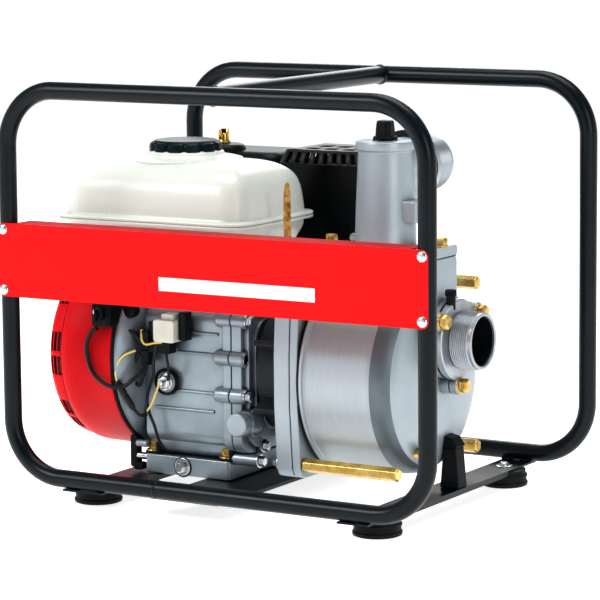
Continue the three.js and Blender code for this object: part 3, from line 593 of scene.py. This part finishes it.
# ---- engine
def build_shroud():
    ring = Piece("shroud_barrel", RED_SHROUD, "shroud_red", replaces=["fan_cover"])
    ring.lathe("x", FAN, [(107, -172.4), (107, -176), (106.2, -178), (105.8, -222), (105.6, -229),
            (104.8, -235), (103, -238.6), (100.6, -240), (82, -240), (82, -237.6), (99, -237.4), (103, -232),
            (103.6, -178), (103.6, -172.4), (107, -172.4)], 128)
    ring.finish(bevel=0, sharp=30)
    seal = Piece("shroud_seal", RUBBER, "rubber_black")
    seal.lathe("x", FAN, [(103.8, -172.4), (106.6, -172.2), (106.9, -170.8), (106.4, -169.4), (103.8, -169.2),
            (103.8, -172.4)], 96)
    seal.finish(bevel=0)
    sides = 120
    rows = [(101.6, -240.2), (101.6, -241.0), (101.3, -245.4), (101.1, -246.4), (100.7, -250.6),
            (100.3, -251.6), (98.5, -255.6), (97.2, -256.8), (94, -258.2), (89, -258.9), (84, -259.1),
            (64, -259.2), (58, -259.2), (54, -258.4), (51, -257.6), (48, -257.8), (45, -259.2), (30, -259.4),
            (24, -258.6), (20, -258.2), (6, -258.2)]
    side_slots, face_slots = (1, 3, 5), (10,)

    def slotted(k, i):
        """Pairs of slots round the side, and one ring of slots on the face."""
        if k in side_slots:
            return (i + 7) % 15 in (2, 3, 4, 5, 7, 8, 9, 10)
        return k in face_slots and i % 6 in (1, 2, 3)

    shell = Piece("starter_cover", RED_SHROUD, "shroud_red", replaces=["recoil_cover"])
    rings = [[(x, FAN[1] + r * cos(2 * pi * i / sides), FAN[2] + r * sin(2 * pi * i / sides))
            for i in range(sides)] for r, x in rows]
    shell.grid(rings, ends=False, skip=slotted)
    shell.finish(bevel=0, sharp=30, thickness=1.4)
    inner = Piece("starter_screen", HOT_BLACK, "plastic_black")
    inner.lathe("x", FAN, [(99.0, -240.0), (98.0, -249), (92, -255.4), (60, -256.0), (5, -256.0), (5, -255.4),
            (60, -255.4), (91.5, -254.8), (97.4, -248.6), (98.4, -240.0), (99.0, -240.0)], 96)
    inner.finish(bevel=0, sharp=30)
    bolts = Piece("starter_bolts", BRIGHT, "steel")
    for k in range(4):
        a = radians(45 + 90 * k)
        bolts.bolt((-254.6, FAN[1] + 52 * cos(a), FAN[2] + 52 * sin(a)), (-1, 0, 0), 7, 3.0, 0)
    bolts.finish(0.2)
    grip = Piece("pull_grip", RUBBER, "rubber_black", "grip", ["starter_grip"])
    x0, x1, y0, y1, z0, z1 = span("starter_grip")
    half = (y1 - y0) / 2
    bar = [(0, -half)] + [((x1 - x0) / 2 * (1 - 0.9 * abs(t) ** 6) * (0.93 + 0.07 * cos(3 * pi * t)),
            half * t) for t in (k / 14 for k in range(-13, 14))] + [(0, half)]
    grip.lathe("y", ((x0 + x1) / 2, 0, z1 - 7.2), bar, 32)
    grip.lathe("z", ((x0 + x1) / 2, 0, 0), [(0, z0), (4, z0), (5, z0 + 1), (6, z1 - 8), (0, z1 - 8)], 24)
    grip.finish(bevel=0, sharp=60)


# bolt bosses round the crankcase joint, as (y, z); the first is an open tapped hole
SIDE_BOSSES = [(-74, 154), (-74, 114), (-70, 194), (0, 206), (70, 194), (74, 114), (40, 56), (-40, 56)]


def build_crankcase():
    at = (-100, 0, SHAFT_Z)
    tilt = (0, cos(radians(25)), sin(radians(25)))
    case = Piece("crankcase_casting", CAST, "cast", replaces=["crankcase"])
    case.slab("x", rounded(-72, 70, 54, 204, 15), -154, -50)
    case.slab("x", rounded(-76, 74, 50, 208, 18), -53, -43)
    case.slab("z", rounded(-156, -49, -72, 72, 3, 4), 20.9, 41.2)
    case.slab("x", rounded(-66, 66, 36, 92, 20, 8), -152, -54)
    case.slab("x", rounded(-71, 69, 70, 190, 26, 8), -158, -150)
    case.lathe("x", FAN, [(58, -152), (80, -153.5), (94, -158), (101, -163.5), (104.5, -166.5),
            (104.5, -170.9), (60, -170.9), (58, -152)], 96)
    for z, low, high in ((94, -142, -66), (114, -118, -60), (156, -112, -60), (178, -106, -60)):
        case.slab("x", rounded(-74.2, -68, z - 1.6, z + 1.6, 1.4, 3), low, high)
    case.slanted(at, tilt, -40, 40, -40, 40, 60, 119)
    for h in (68, 80, 92, 104):
        case.slanted(at, tilt, -44, 44, -44, 44, h, h + 3)
    case.lathe("y", SENSOR, [(0, -79), (11, -79), (12.4, -77.5), (12.8, -70), (0, -70)], 40)
    for y, z in SIDE_BOSSES:
        case.lathe("x", (0, y, z), [(0, -64), (5, -64), (8, -61), (8.4, -56), (8.4, -43), (0, -43)], 32)
    case.lathe("x", (0, -72, 52), [(0, -166), (4, -166), (4, -152), (0, -152)], 20)
    case.lathe("x", (0, -62, 44), [(0, -50), (7, -50), (6.5, -17), (0, -17)], 24)
    case.finish(0.9, 3)
    joint = Piece("crankcase_gasket", HOT_BLACK, "rubber_black")
    joint.slab("x", rounded(-75.6, 73.6, 50.4, 207.6, 18), -43.2, -41.9)
    joint.finish(0)

    cover = Piece("side_cover_casting", CAST, "cast", replaces=["crankcase_cover"])
    cover.slab("x", rounded(-76, 74, 50, 208, 18), -42, -30)
    for inset, high in ((4, -24), (12, -20), (22, -17)):
        cover.slab("x", rounded(-74 + inset, 72 - inset, 52 + inset, 206 - inset, 22), -46, high)
    cover.lathe("x", SHAFT, [(0, -24), (34, -24), (33, -18), (30, -16.2), (0, -16.2)], 48)
    for k in range(8):
        a = radians(22.5 + 45 * k)
        cover.slanted((-24, 34 * cos(a), SHAFT_Z + 34 * sin(a)), (0, cos(a), sin(a)), -9, 9, -1.8, 1.8, 0, 26)
    for y, z in SIDE_BOSSES:
        cover.lathe("x", (0, y, z), [(0, -42), (8.4, -42), (8.4, -28), (7.6, -25.5), (0, -25.5)], 32)
    cover.lathe("y", FILLER, [(0, -77), (12, -77), (14.5, -74), (15.5, -60), (0, -60)], 40)
    cover.slab("x", rounded(-75, -50, 70, 101, 9), -44, -18)
    cover.finish(1.0, 3)
    bolts = Piece("side_cover_bolts", BRIGHT, "steel")
    for y, z in SIDE_BOSSES[1:]:
        bolts.bolt((-25.4, y, z), "x", 10, 5.5, 7.6)
    bolts.lathe("x", (0, *SIDE_BOSSES[0]), [(0, -26), (6.2, -26), (6.2, -24.8), (4.2, -24.4), (4.2, -26.6),
            (0, -26.6)], 28)
    bolts.bolt((-17, -62, 44), "x", 10, 5.5, 8)
    bolts.finish(0.3)
    # Painted shade: a black disc stands for the dark inside of the open tapped hole.
    hole_shade_disc = Piece("tapped_hole_painted_shade", HOT_BLACK, "rubber_black")
    hole_shade_disc.lathe("x", (0, *SIDE_BOSSES[0]), [(0, -26), (4, -26), (4, -24.6), (0, -24.6)], 20)
    hole_shade_disc.finish(0)
    filler = Piece("filler_cap", PUMP_CAST, "cast", "oil_filler_cap", ["oil_filler_cap"])
    filler.lathe("y", FILLER, [(0, -91), (10.6, -91.4), (12.2, -90.6), (12.8, -89), (12.8, -79),
            (12.2, -77.6), (7.6, -77.4), (7.6, -64), (2, -64), (2, -20), (0, -20)], 60,
            shape=lambda a, r: r - (0.5 * max(0.0, cos(20 * a)) if r > 12.5 else 0.0))
    filler.finish(0.4)


def build_engine_base():
    pads = Piece("base_washers", RUBBER, "rubber_black")
    bolts = Piece("base_bolts", ZINC, "yellow_zinc")
    for x in (-150, -57):
        for y in (-62, 62):
            pads.slab("z", rounded(x - 8, x + 11, y - 8, y + 8, 2.5, 3), 41.2, 44)
            pads.slab("z", rounded(x + 5, x + 11, y - 7, y + 7, 2, 3), 43, 54)
            bolts.bolt((x, y, 44), "z", 12, 9, 9)
    pads.finish(0.4)
    bolts.finish(0.3)
    drain = Piece("oil_drain_bolt", BRIGHT, "steel")
    drain.bolt((DRAIN_X, -72, 31), (0, -1, 0), 11, 7.5, 9.6, turn=0.2)
    drain.lathe("x", (0, -66, 37), [(0, -176), (3.6, -176), (4, -175), (4, -154), (0, -154)], 24)
    drain.finish(0.3)
    ring = Piece("drain_washer", HOT_BLACK, "rubber_black")
    ring.lathe("y", (DRAIN_X, 0, 30.5), [(9.5, -72.6), (11.2, -72.4), (11.2, -71.6), (9.5, -71.6),
            (9.5, -72.6)], 32)
    ring.finish(0)
    clamp = Piece("fuel_line_bracket", RUBBER, "rubber_black")
    clamp.slab("y", rounded(-177, -168, 24, 60, 3, 4), -70, -60)
    clamp.slab("y", rounded(-172, -160, 22, 30, 3, 4), -72, -62)
    clamp.finish(0.8)


def build_electrics():
    x0, x1, y0, y1, z0, z1 = span("oil_alert_unit")
    shift = 6.5                  # further right than the CAD's
    x0, x1 = x0 + shift, x1 + shift
    unit = Piece("alert_unit_case", CREAM, "plastic_cream", replaces=["oil_alert_unit"])
    unit.slab("y", rounded(x0, x1, z0, z1, 3, 5), y0, y0 + 18)
    unit.slab("y", rounded(x0 + 2, x1 - 2, z0 + 2, z1 - 2, 2, 4), y0 + 16, y1)
    unit.slab("z", rounded(x0 + 7, x1 - 4, y0 + 5, y1 - 2, 2, 4), z1 - 2, z1 + 6)
    unit.finish(0.9, 3)
    black = Piece("alert_unit_holder", PLASTIC, "plastic_black")
    black.slab("z", rounded(x1 + 0.5, x1 + 10, y0 + 8, y1, 2, 4), z0 + 2, z1 + 8)
    black.slab("z", rounded(x0 - 12, x0 - 1, y0 + 8, y1, 3, 4), z0 + 2, z0 + 20)
    black.slab("z", rounded(x0 - 12, x1 - 9, y0 + 6, y1 - 2, 2, 4), z0 - 13, z0 - 0.4)
    black.slab("z", rounded(x0 - 19, x0 - 9, y0 + 4, y1 - 2, 2, 4), z0 - 10, z0 + 10)
    black.slab("y", rounded(-147, -137, 141, 158, 3, 4), -92, -82)
    black.slab("y", rounded(-163, -156, 146, 162, 2, 4), -92, -84)
    black.lathe("y", SENSOR, [(13, -80), (14.6, -79), (14.8, -75), (13, -75), (13, -80)], 36)
    black.lathe("y", (-160, 0, 200), [(0, -95), (7, -95), (8.5, -93), (8.5, -84), (0, -84)], 28)
    black.finish(0.8, 2)
    sensor = Piece("level_sensor", BRIGHT, "steel")
    sensor.bolt((SENSOR[0], -79, SENSOR[2]), (0, -1, 0), 13, 5, 9.5)
    sensor.lathe("y", SENSOR, [(0, -90), (3, -90), (3.6, -88), (3.6, -84), (0, -84)], 20)
    sensor.finish(0.3)
    x0, x1, y0, y1, z0, z1 = span("switch_box")
    box = Piece("switch_housing", PLASTIC, "plastic_black", replaces=["switch_box"])
    box.slab("y", rounded(x0, x1, z0, z1, 3, 5), y0 + 1.5, y1)
    box.slab("y", rounded(x0 + 2, x1 - 2, z0 + 2, z1 - 2, 3, 5), y0, y0 + 2)
    box.finish(0.7)
    knob = Piece("ignition_knob", PLASTIC, "knob_black", "switch_knob", ["switch_knob"])
    kx, kz = (x0 + x1) / 2, (z0 + z1) / 2 + 2        # the knob sits 2 mm above the box's middle
    knob.lathe("y", (kx, 0, kz), [(0, -126), (6, -126), (7, -125), (7, -119.2), (3.4, -119), (3.4, -113),
            (0, -113)], 36, shape=lambda a, r: r - (0.35 * max(0.0, cos(14 * a)) if r > 6.5 else 0.0))
    knob.slab("y", rounded(kx - 2, kx + 2, kz - 6.8, kz + 6.8, 1.8, 5), -130.8, -125)
    knob.finish(0.4)
    mark = Piece("knob_mark", WHITE_PRINT, "steel", "switch_knob")
    mark.slab("y", rounded(kx - 0.6, kx + 0.6, kz + 1.5, kz + 6, 0.5, 3), -130.95, -130.6)
    mark.finish(0)
    loop = Piece("switch_lead", CABLE, "rubber_black", replaces=["switch_cable"])
    loop.tube(smooth_path([(-186, -116.5, 182), (-194, -116.5, 176), (-200, -116.5, 162), (-198, -116.5, 146),
            (-191, -116.5, 132), (-179, -116.5, 123), (-168, -115, 119.7), (-156, -110, 121),
            (-149, -106, 127)]), 2.4)
    loop.tube(smooth_path([(-149, -106, 127), (-143, -100, 134), (-140, -93, 144)]), 2.4)
    loop.finish(bevel=0)
    earth = Piece("sensor_lead", CABLE, "rubber_black", replaces=["sensor_wire"])
    earth.tube(smooth_path([(-126, -92, 167), (-128, -92, 156), (-131, -91, 144), (-132, -90, 132),
            (-138, -89, 118), (-142, -88, 104), (-141, -86, 90), (-136, -84, 76), (-133, -82, 62)]), 1.8)
    earth.tube(smooth_path([(-133, -82, 62), (-131, -78, 54), (-131, -72, 48)]), 1.6)
    earth.tube(smooth_path([(-116, -90, 165), (-113, -92, 150), (-112, -90, 136), (-116, -86, 127)]), 1.6)
    earth.tube(smooth_path([(-150, -90, 154), (-158, -89, 140), (-160, -88, 128), (-152, -88, 118),
            (-146, -88, 130), (-141, -88, 142)]), 1.7)
    earth.tube(smooth_path([(-172, -100, 176), (-160, -94, 178), (-150, -90, 170), (-144, -88, 160)]), 2.2)
    earth.tube(smooth_path([(-170, -98, 196), (-166, -94, 184), (-156, -90, 172), (-146, -88, 164)]), 1.7)
    earth.finish(bevel=0)
    sleeve = Piece("lead_connector", CABLE, "rubber_black")
    sleeve.tube(smooth_path([(-167, -108, 125), (-162, -106, 115), (-156, -104, 105), (-150, -102, 95)], 6),
            lambda t: 3.0 + (0.8 if 0.1 < t < 0.45 or 0.55 < t < 0.9 else 0.0), 18)
    sleeve.tube(smooth_path([(-150, -102, 95), (-145, -97, 88), (-141, -90, 88)]), 1.8)
    sleeve.finish(bevel=0, sharp=60)
    wires = Piece("yellow_wires", YELLOW_WIRE, "yellow_zinc")
    for route in ([(-145, -92, 180), (-143, -95, 170), (-138, -95, 165), (-128, -94, 167), (-119, -93, 168)],
            [(-149, -98, 158), (-159, -105, 153), (-165, -108, 145), (-168, -109, 134), (-167, -108, 125)],
            [(-124, -90, 125), (-128, -92, 112), (-134, -91, 100), (-141, -89, 92)]):
        wires.tube(smooth_path(route), 1.15, 12)
    wires.finish(bevel=0)


def build_engine_top():
    shell = Piece("filter_cover", PLASTIC, "plastic_black", "cleaner_cover", ["air_cleaner_cover"])
    x0, x1, y0, y1, z0, z1 = span("air_cleaner_cover")
    roof = z1 - 7
    levels = [(z0 + 0.2, 0.4), (z0 + 3, 0), (z0 + 9, 0), (z0 + 10, 2), (roof - 16, 3.4), (roof - 7, 5),
            (roof - 2.5, 9), (roof - 0.4, 15), (roof, 22)]
    outline = rounded(x0, x1, y0, y1, 18, 8)
    loft(shell, outline, levels)
    shell.lathe("z", STUD, [(0, roof - 2), (26, roof - 2), (24, roof + 3), (22, roof + 5.5), (19, roof + 6.6),
            (8, roof + 6.8), (0, roof + 6.8)], 48)
    shell.finish(0.5, sharp=40)
    keep("air_cleaner_base", PLASTIC, 0.8)
    nut = Piece("brass_wing_nut", BRASS, "brass", "cleaner_nut", ["air_cleaner_nut"])
    x0, x1, y0, y1, z0, z1 = span("air_cleaner_nut")
    nut.lathe("z", STUD, [(3.1, z0), (8, z0), (7.6, z0 + 1.4), (6.2, z0 + 3), (5.6, z0 + 9), (4.6, z0 + 10.6),
            (3.1, z0 + 10.6), (3.1, z0)], 36)
    for side in (-1, 1):
        wing = [(side * a + STUD[1], b) for a, b in ((4.6, z0 + 3), (7.5, z0 + 4.5), (9.9, z0 + 9),
                (9.4, z1 - 0.6), (7.4, z1), (5.8, z1 - 4), (4.6, z0 + 9))]
        nut.slab("x", wing, STUD[0] - 1.4, STUD[0] + 1.4)
    nut.finish(0.6, 3)

    x0, x1, y0, y1, z0, z1 = span("heat_shield")
    shield = Piece("slotted_heat_shield", HOT_BLACK, "hot_black", replaces=["heat_shield"])
    edge, lean = 15.0, 6.0
    low = [(x0, y0), (x1, y0), (x1, y1), (x0, y1)]
    top = [(x0 + lean, y0 + lean), (x1 - lean, y0 + lean), (x1 - lean, y1 - lean), (x0 + lean, y1 - lean)]
    cells = 17
    for k in range(4):
        a, b, c, d = low[k], low[(k + 1) % 4], top[k], top[(k + 1) % 4]
        rings = [[(a[0], a[1], z0), (b[0], b[1], z0)], [(a[0], a[1], z1 - edge), (b[0], b[1], z1 - edge)]]
        shield.grid(rings, loop=False, ends=False)
        rows = []
        for v in (0.0, 0.06, 0.86, 1.0):
            p = [a[i] + (c[i] - a[i]) * v for i in (0, 1)]
            q = [b[i] + (d[i] - b[i]) * v for i in (0, 1)]
            z = z1 - edge + edge * v
            rows.append([(p[0] + (q[0] - p[0]) * u / cells, p[1] + (q[1] - p[1]) * u / cells, z)
                    for u in range(cells + 1)])
        shield.grid(rows, loop=False, ends=False, skip=lambda row, u: row == 1 and u % 2 == 1)
    inner = [[(top[0][0] + (top[1][0] - top[0][0]) * i / 12, top[0][1] + (top[3][1] - top[0][1]) * j / 6, z1)
            for i in range(13)] for j in range(7)]
    shield.grid(inner, loop=False, ends=False, skip=lambda j, i: j in (1, 3) and i in (2, 3, 5, 6, 8, 9))
    shield.finish(bevel=0, sharp=30, thickness=1.6)
    keep("muffler", HOT_BLACK, 2.0)
    screws = Piece("shield_screws", BRIGHT, "steel")
    for x in (x0 + 8, x1 - 8):
        screws.bolt((x, y0 + 0.2, z0 + 12), (0, -1, 0), 7, 3.4, 5.4)
    screws.finish(0.2)


# ---- pump
# three bolt ears round the suction port, as (y, z)
EARS = [(48 * cos(radians(a)), SUCTION_Z + 48 * sin(radians(a))) for a in (30, 150, 270)]


def plate_outline(grow=0.0):
    """The bracket flange's outline, as (y, z), grown by about grow millimetres."""
    right = [(58, 36), (84, 36.4), (92, 39), (96, 46), (101, 112), (101, 166), (96.5, 231), (92, 239),
            (84, 242.4), (58, 243)]
    left = [(-y, z) for y, z in reversed(right)]
    return [(y * (1 + grow / 100), z + (grow if z > SHAFT_Z else -grow)) for y, z in right + left]


def threads(r, start, stop, pitch):
    """Profile of a cut thread, as (radius, distance) from start to stop."""
    out = [(r - 1.4, start)]
    t = start
    while t + pitch <= stop:
        out += [(r, t + pitch * 0.45), (r, t + pitch * 0.6), (r - 1.1, t + pitch)]
        t += pitch
    return out


def build_pump():
    plate = Piece("bracket_flange", PUMP_CAST, "pump_cast", replaces=["pump_bracket"])
    plate.slab("x", plate_outline(), 25, 43.6)
    plate.slab("x", rounded(-22, 22, 228, 274, 8), 26, 42)
    plate.finish(1.4, 3)
    hub = Piece("bracket_hub", CAST_DARK, "pump_cast")
    hub.lathe("x", SHAFT, [(60, -15.6), (70, -15.6), (72, -13), (73, 26), (60, 26), (60, -15.6)], 72)
    for k in range(8):
        a = radians(22.5 + 45 * k)
        reach = 17 if k == 2 else 30         # rib 2 stops short of the governor blade
        hub.slanted((5, 66 * cos(a), SHAFT_Z + 66 * sin(a)), (0, cos(a), sin(a)), -12, 20, -3, 3, 0, reach)
    hub.finish(1.0)
    # A black gasket line between the two flanges, and a black disc between the back plate and the drum:
    # painted shade standing for the dark gap there.
    gasket_and_gap_shade = Piece("flange_gasket_and_gap_shade", HOT_BLACK, "rubber_black")
    gasket_and_gap_shade.slab("x", plate_outline(-0.5), 43.4, 44.6)
    gasket_and_gap_shade.lathe("x", SHAFT, [(0, 53.4), (103, 53.4), (103, 59.2), (0, 59.2)], 72)
    gasket_and_gap_shade.finish(0)
    back = Piece("back_plate_flange", PUMP_CAST, "pump_cast", replaces=["pump_back_plate"])
    back.slab("x", plate_outline(), 44.4, 53.6)
    back.finish(1.0, 3)

    drum = Piece("turned_pump_drum", DRUM_FINISH, "pump_cast", replaces=["pump_casing"])
    drum.lathe("x", SHAFT, [(98, 59), (107.6, 59), (108, 59.6), (108, 61.4), (107.4, 62), (105, 62.6),
            (104, 64), (104, 118), (104, 134), (103.8, 137), (103.2, 139.6), (99.6, 139.6), (100, 64),
            (98, 59)], 128)
    drum.finish(bevel=0, sharp=30)
    # Painted shade: the shoulder band is coloured dark to stand for the shade where the drum rounds into its
    # face.
    shoulder = Piece("shoulder_shade_band", SHOULDER_SHADE, "pump_cast")
    shoulder.lathe("x", SHAFT, [(103.2, 139.6), (102.6, 144), (101, 150), (98.2, 155.4), (94.4, 159.6),
            (91, 159.2), (99.6, 139.6), (103.2, 139.6)], 128)
    shoulder.finish(bevel=0)
    body = Piece("pump_body_casting", PUMP_CAST, "pump_cast")
    sides, bore_r = 96, 29
    crown = [(r, 172 - 0.0011 * r ** 2) for r in range(78, 2, -3)]
    turns = [2 * pi * i / sides for i in range(sides)]
    rings = [[(x, r * sin(a), SHAFT_Z + r * cos(a)) for a in turns] for r, x in [(94.4, 159.4), (91, 162),
            (85, 164)] + crown]

    def bore(row, i):
        """True where the suction bore goes through the casing's face."""
        near, far = rings[row][i], rings[row + 1][(i + 1) % sides]
        return hypot((near[1] + far[1]) / 2, (near[2] + far[2]) / 2 - SUCTION_Z) < bore_r

    body.grid(rings, ends=False, skip=bore)
    body.lathe("x", SHAFT, [(0, 170), (4.5, 170), (4.5, 172.4), (3.8, 173), (0, 173)], 32)
    tower = (TOWER_X, 0, 0)
    body.lathe("z", tower, [(36, 226), (34.4, 236), (33, 262), (31, 320), (28.6, 372), (29, 374.6),
            (30.8, 376), (31.3, 377.6), (31.3, 382.6), (30.4, 384.6), (14, 385), (14, 383.8), (0, 383.8)], 72)
    body.lathe("y", DISCHARGE, [(25, -6), (27, 18), (31, 27), (31, 44), (24, 44), (24, 20)], 64)
    body.lathe("y", (TOWER_X, 0, DISCHARGE_Z - 8), [(0, -18), (14, -18), (23, -2), (29.5, 27), (31, 44)], 64)
    body.slab("x", rounded(-25, 25, 213, 265, 5), 138, 174)
    body.slab("x", rounded(-25.5, 25.5, 266.4, 277, 4), 137.5, 174.5)
    body.slab("x", rounded(-14, 14, 301, 324, 2), 124, 145.5)
    body.lathe("x", SUCTION, [(38, 150), (41, 164), (42, 181.4), (26.6, 181.4), (26.6, 150)], 72)
    for y, z in EARS:
        body.lathe("x", (0, y, z), [(0, 160), (9, 160), (10, 166), (10, 181.4), (0, 181.4)], 32)
    body.finish(1.0, 3, sharp=32)
    for node in ("volute", "impeller"):
        keep(node, IRON, 0.5)
    keep("shaft_seal", RUBBER, 0.4)
    keep("check_flap", RUBBER, 0.6)
    keep("drain_plug", ZINC, 0.5)
    keep("crankshaft", BRIGHT, 0.5)

    lines = Piece("pump_gaskets", HOT_BLACK, "rubber_black")
    lines.slab("x", rounded(-24.6, 24.6, 264.8, 266.6, 0.6, 2), 138.4, 173.6)
    lines.lathe("x", SUCTION, [(27, 181.2), (42.6, 181.2), (42.6, 183.2), (27, 183.2), (27, 181.2)], 72)
    lines.lathe("y", DISCHARGE, [(25, 43.8), (38.4, 43.8), (38.4, 44.8), (25, 44.8), (25, 43.8)], 64)
    lines.finish(0)
    bolts = Piece("pump_yellow_bolts", ZINC, "yellow_zinc")
    bolts.bolt((168, 0, 277), "z", 13, 8, 9)
    bolts.bolt((34, 6, 274), "z", 11, 7, 8)
    for y, z in ((-41.6, 205), (41.6, 205), (0, 133)):
        bolts.bolt((191, y, z), "x", 13, 8.5, 9)
    bolts.finish(0.4)
    dark = Piece("pump_black_fittings", PLASTIC, "plastic_black")
    dark.bolt((187.4, -14, 228), "z", 11, 7, 0)
    dark.lathe("z", (187.4, -14, 0), [(0, 214), (5, 214), (5, 229), (0, 229)], 20)
    dark.slab("z", rounded(21, 43, -12, 14, 3, 4), 262, 274)
    dark.slab("y", [(158, 63.4), (182, 63.4), (182, 66), (176, 74), (158, 78)], 8, 27)
    dark.finish(0.6)

    port = Piece("suction_threaded_port", THREAD, "pump_cast", replaces=["suction_port"])
    x0, x1 = span("suction_port")[:2]
    port.lathe("x", SUCTION, [(26, x0 + 0.2), (42, x0 + 0.2), (42.4, x0 + 1), (42.4, x0 + 7.4),
            (41.4, x0 + 8.4), (33, x0 + 9), (29.4, x0 + 10)] + threads(30.4, x0 + 10, x1 - 2.4, 2.3)
            + [(29.4, x1 - 2), (29.6, x1 - 0.6), (28.8, x1), (26.8, x1), (26, x1 - 0.8), (26, x0 + 0.2)], 96)
    for y, z in EARS:
        port.lathe("x", (0, y, z), [(0, x0 + 0.2), (10, x0 + 0.2), (10, x0 + 7.6), (9.4, x0 + 8.3),
                (0, x0 + 8.3)], 36)
    port.finish(0.3, sharp=30)
    # Painted shade: a black sleeve darkens the inside of the suction bore.
    bore_shade_sleeve = Piece("suction_bore_shade", HOT_BLACK, "rubber_black")
    bore_shade_sleeve.lathe("x", SUCTION, [(25.9, x0 + 1), (25.9, x1 - 3), (25.2, x1 - 3), (25.2, x0 + 1),
            (25.9, x0 + 1)], 72)
    bore_shade_sleeve.finish(0)
    mouth = Piece("discharge_threaded_port", THREAD, "pump_cast", replaces=["discharge_port"])
    y0, y1 = span("discharge_port")[2:4]
    mouth.lathe("y", DISCHARGE, [(24, y0 + 0.6), (38, y0 + 0.6), (38, y0 + 9), (37, y0 + 9.8), (32, y0 + 11),
            (30.4, y0 + 13)] + threads(30.4, y0 + 14, y1 - 2.4, 2.3) + [(29.4, y1 - 1.8), (29, y1),
            (24.8, y1), (24, y1 - 0.8), (24, y0 + 0.6)], 96)
    mouth.finish(0.3, sharp=30)

    for row in ("low", "high"):
        for side in ("near", "far"):
            node = f"tie_rod_{row}_{side}"
            x1 = span(node)[1]
            y, z = centre(node)[1:]
            r = 6.5 / cos(pi / 6)
            bar = Piece(f"hex_{node}", ZINC, "yellow_zinc", replaces=[node])
            bar.lathe("x", (0, y, z), [(0, 54.8), (r, 54.8), (r, x1 - 1.4), (r - 1.3, x1), (0, x1)],
                    6, turn=pi / 6)
            bar.lathe("x", (0, y, z), [(0, 26), (4, 26), (4, 56), (0, 56)], 20)
            bar.finish(0.4)
            nut = Piece(f"nut_{node}", BRIGHT, "steel")
            nut.bolt((25, y, z), (-1, 0, 0), 10, 6, 8)
            nut.finish(0.3)
    plug = Piece("priming_cap", PLASTIC, "plastic_black", "priming_plug", ["priming_plug"])
    z0 = span("priming_plug")[4]
    plug.lathe("z", tower, [(0, z0), (8.4, z0), (8.4, 385.4), (12.9, 385.4), (12.9, 388.4), (12, 389.4)], 48)
    grip = [rounded(TOWER_X - w, TOWER_X + w, -w, w, 5, 6) for w in (9.0, 8.7, 8.1, 7.6, 6.4)]
    heights = (389.2, 396, 403.5, 405.4, 406)
    plug.grid([[(x, y, h) for x, y in ring] for ring, h in zip(grip, heights)])
    plug.finish(0.4, sharp=50)
    mount = Piece("casing_rubber_mount", RUBBER, "rubber_black", replaces=["rubber_mount"])
    x0, x1, y0, y1, z0, z1 = span("rubber_mount")
    mount.slab("y", [(x0, z0), (x1, z0), (x1 - 1, z0 + 8), (x1 - 4, z1), (x0 + 4, z1), (x0 + 1, z0 + 8)], y0,
            y1)
    mount.finish(1.2, 3)


def build_rest():
    keep("cylinder_head", CAST, 1.0)
    keep("carburettor", CAST, 0.8)
    keep("flywheel", IRON, 0.5)
    keep("piston", CAST, 0.5)
    keep("starter_reel", PLASTIC, 0.5)
    keep("throttle_lever", BRIGHT, 0.4)
    keep("choke_lever", PLASTIC, 0.4)
    keep("fuel_valve_lever", PLASTIC, 0.4)
    x0, x1, y0, y1, z0, z1 = span("governor_arm")
    blade = Piece("governor_blade", ZINC_WORN, "yellow_zinc", "governor", ["governor_arm"])
    mid, thick = (y0 + y1) / 2, 1.0
    cx = (x0 + x1) / 2
    edge = [(1.4, z0 + 6), (-1.6, z0 + 30), (-4.6, z1 - 40), (-4.4, z1 - 18), (-2.8, z1 - 3), (-1.2, z1),
            (1.2, z1), (2.6, z1 - 3), (4.0, z1 - 18), (4.0, z1 - 40), (5.2, z0 + 30), (6.6, z0 + 6)]
    blade.slab("y", [(cx + a, b) for a, b in edge], mid - thick, mid + thick)
    blade.finish(0.5)


camera()
studio()
build_frame()
build_panel()
build_tank()
build_shroud()
build_crankcase()
build_engine_base()
build_electrics()
build_engine_top()
build_pump()
build_rest()
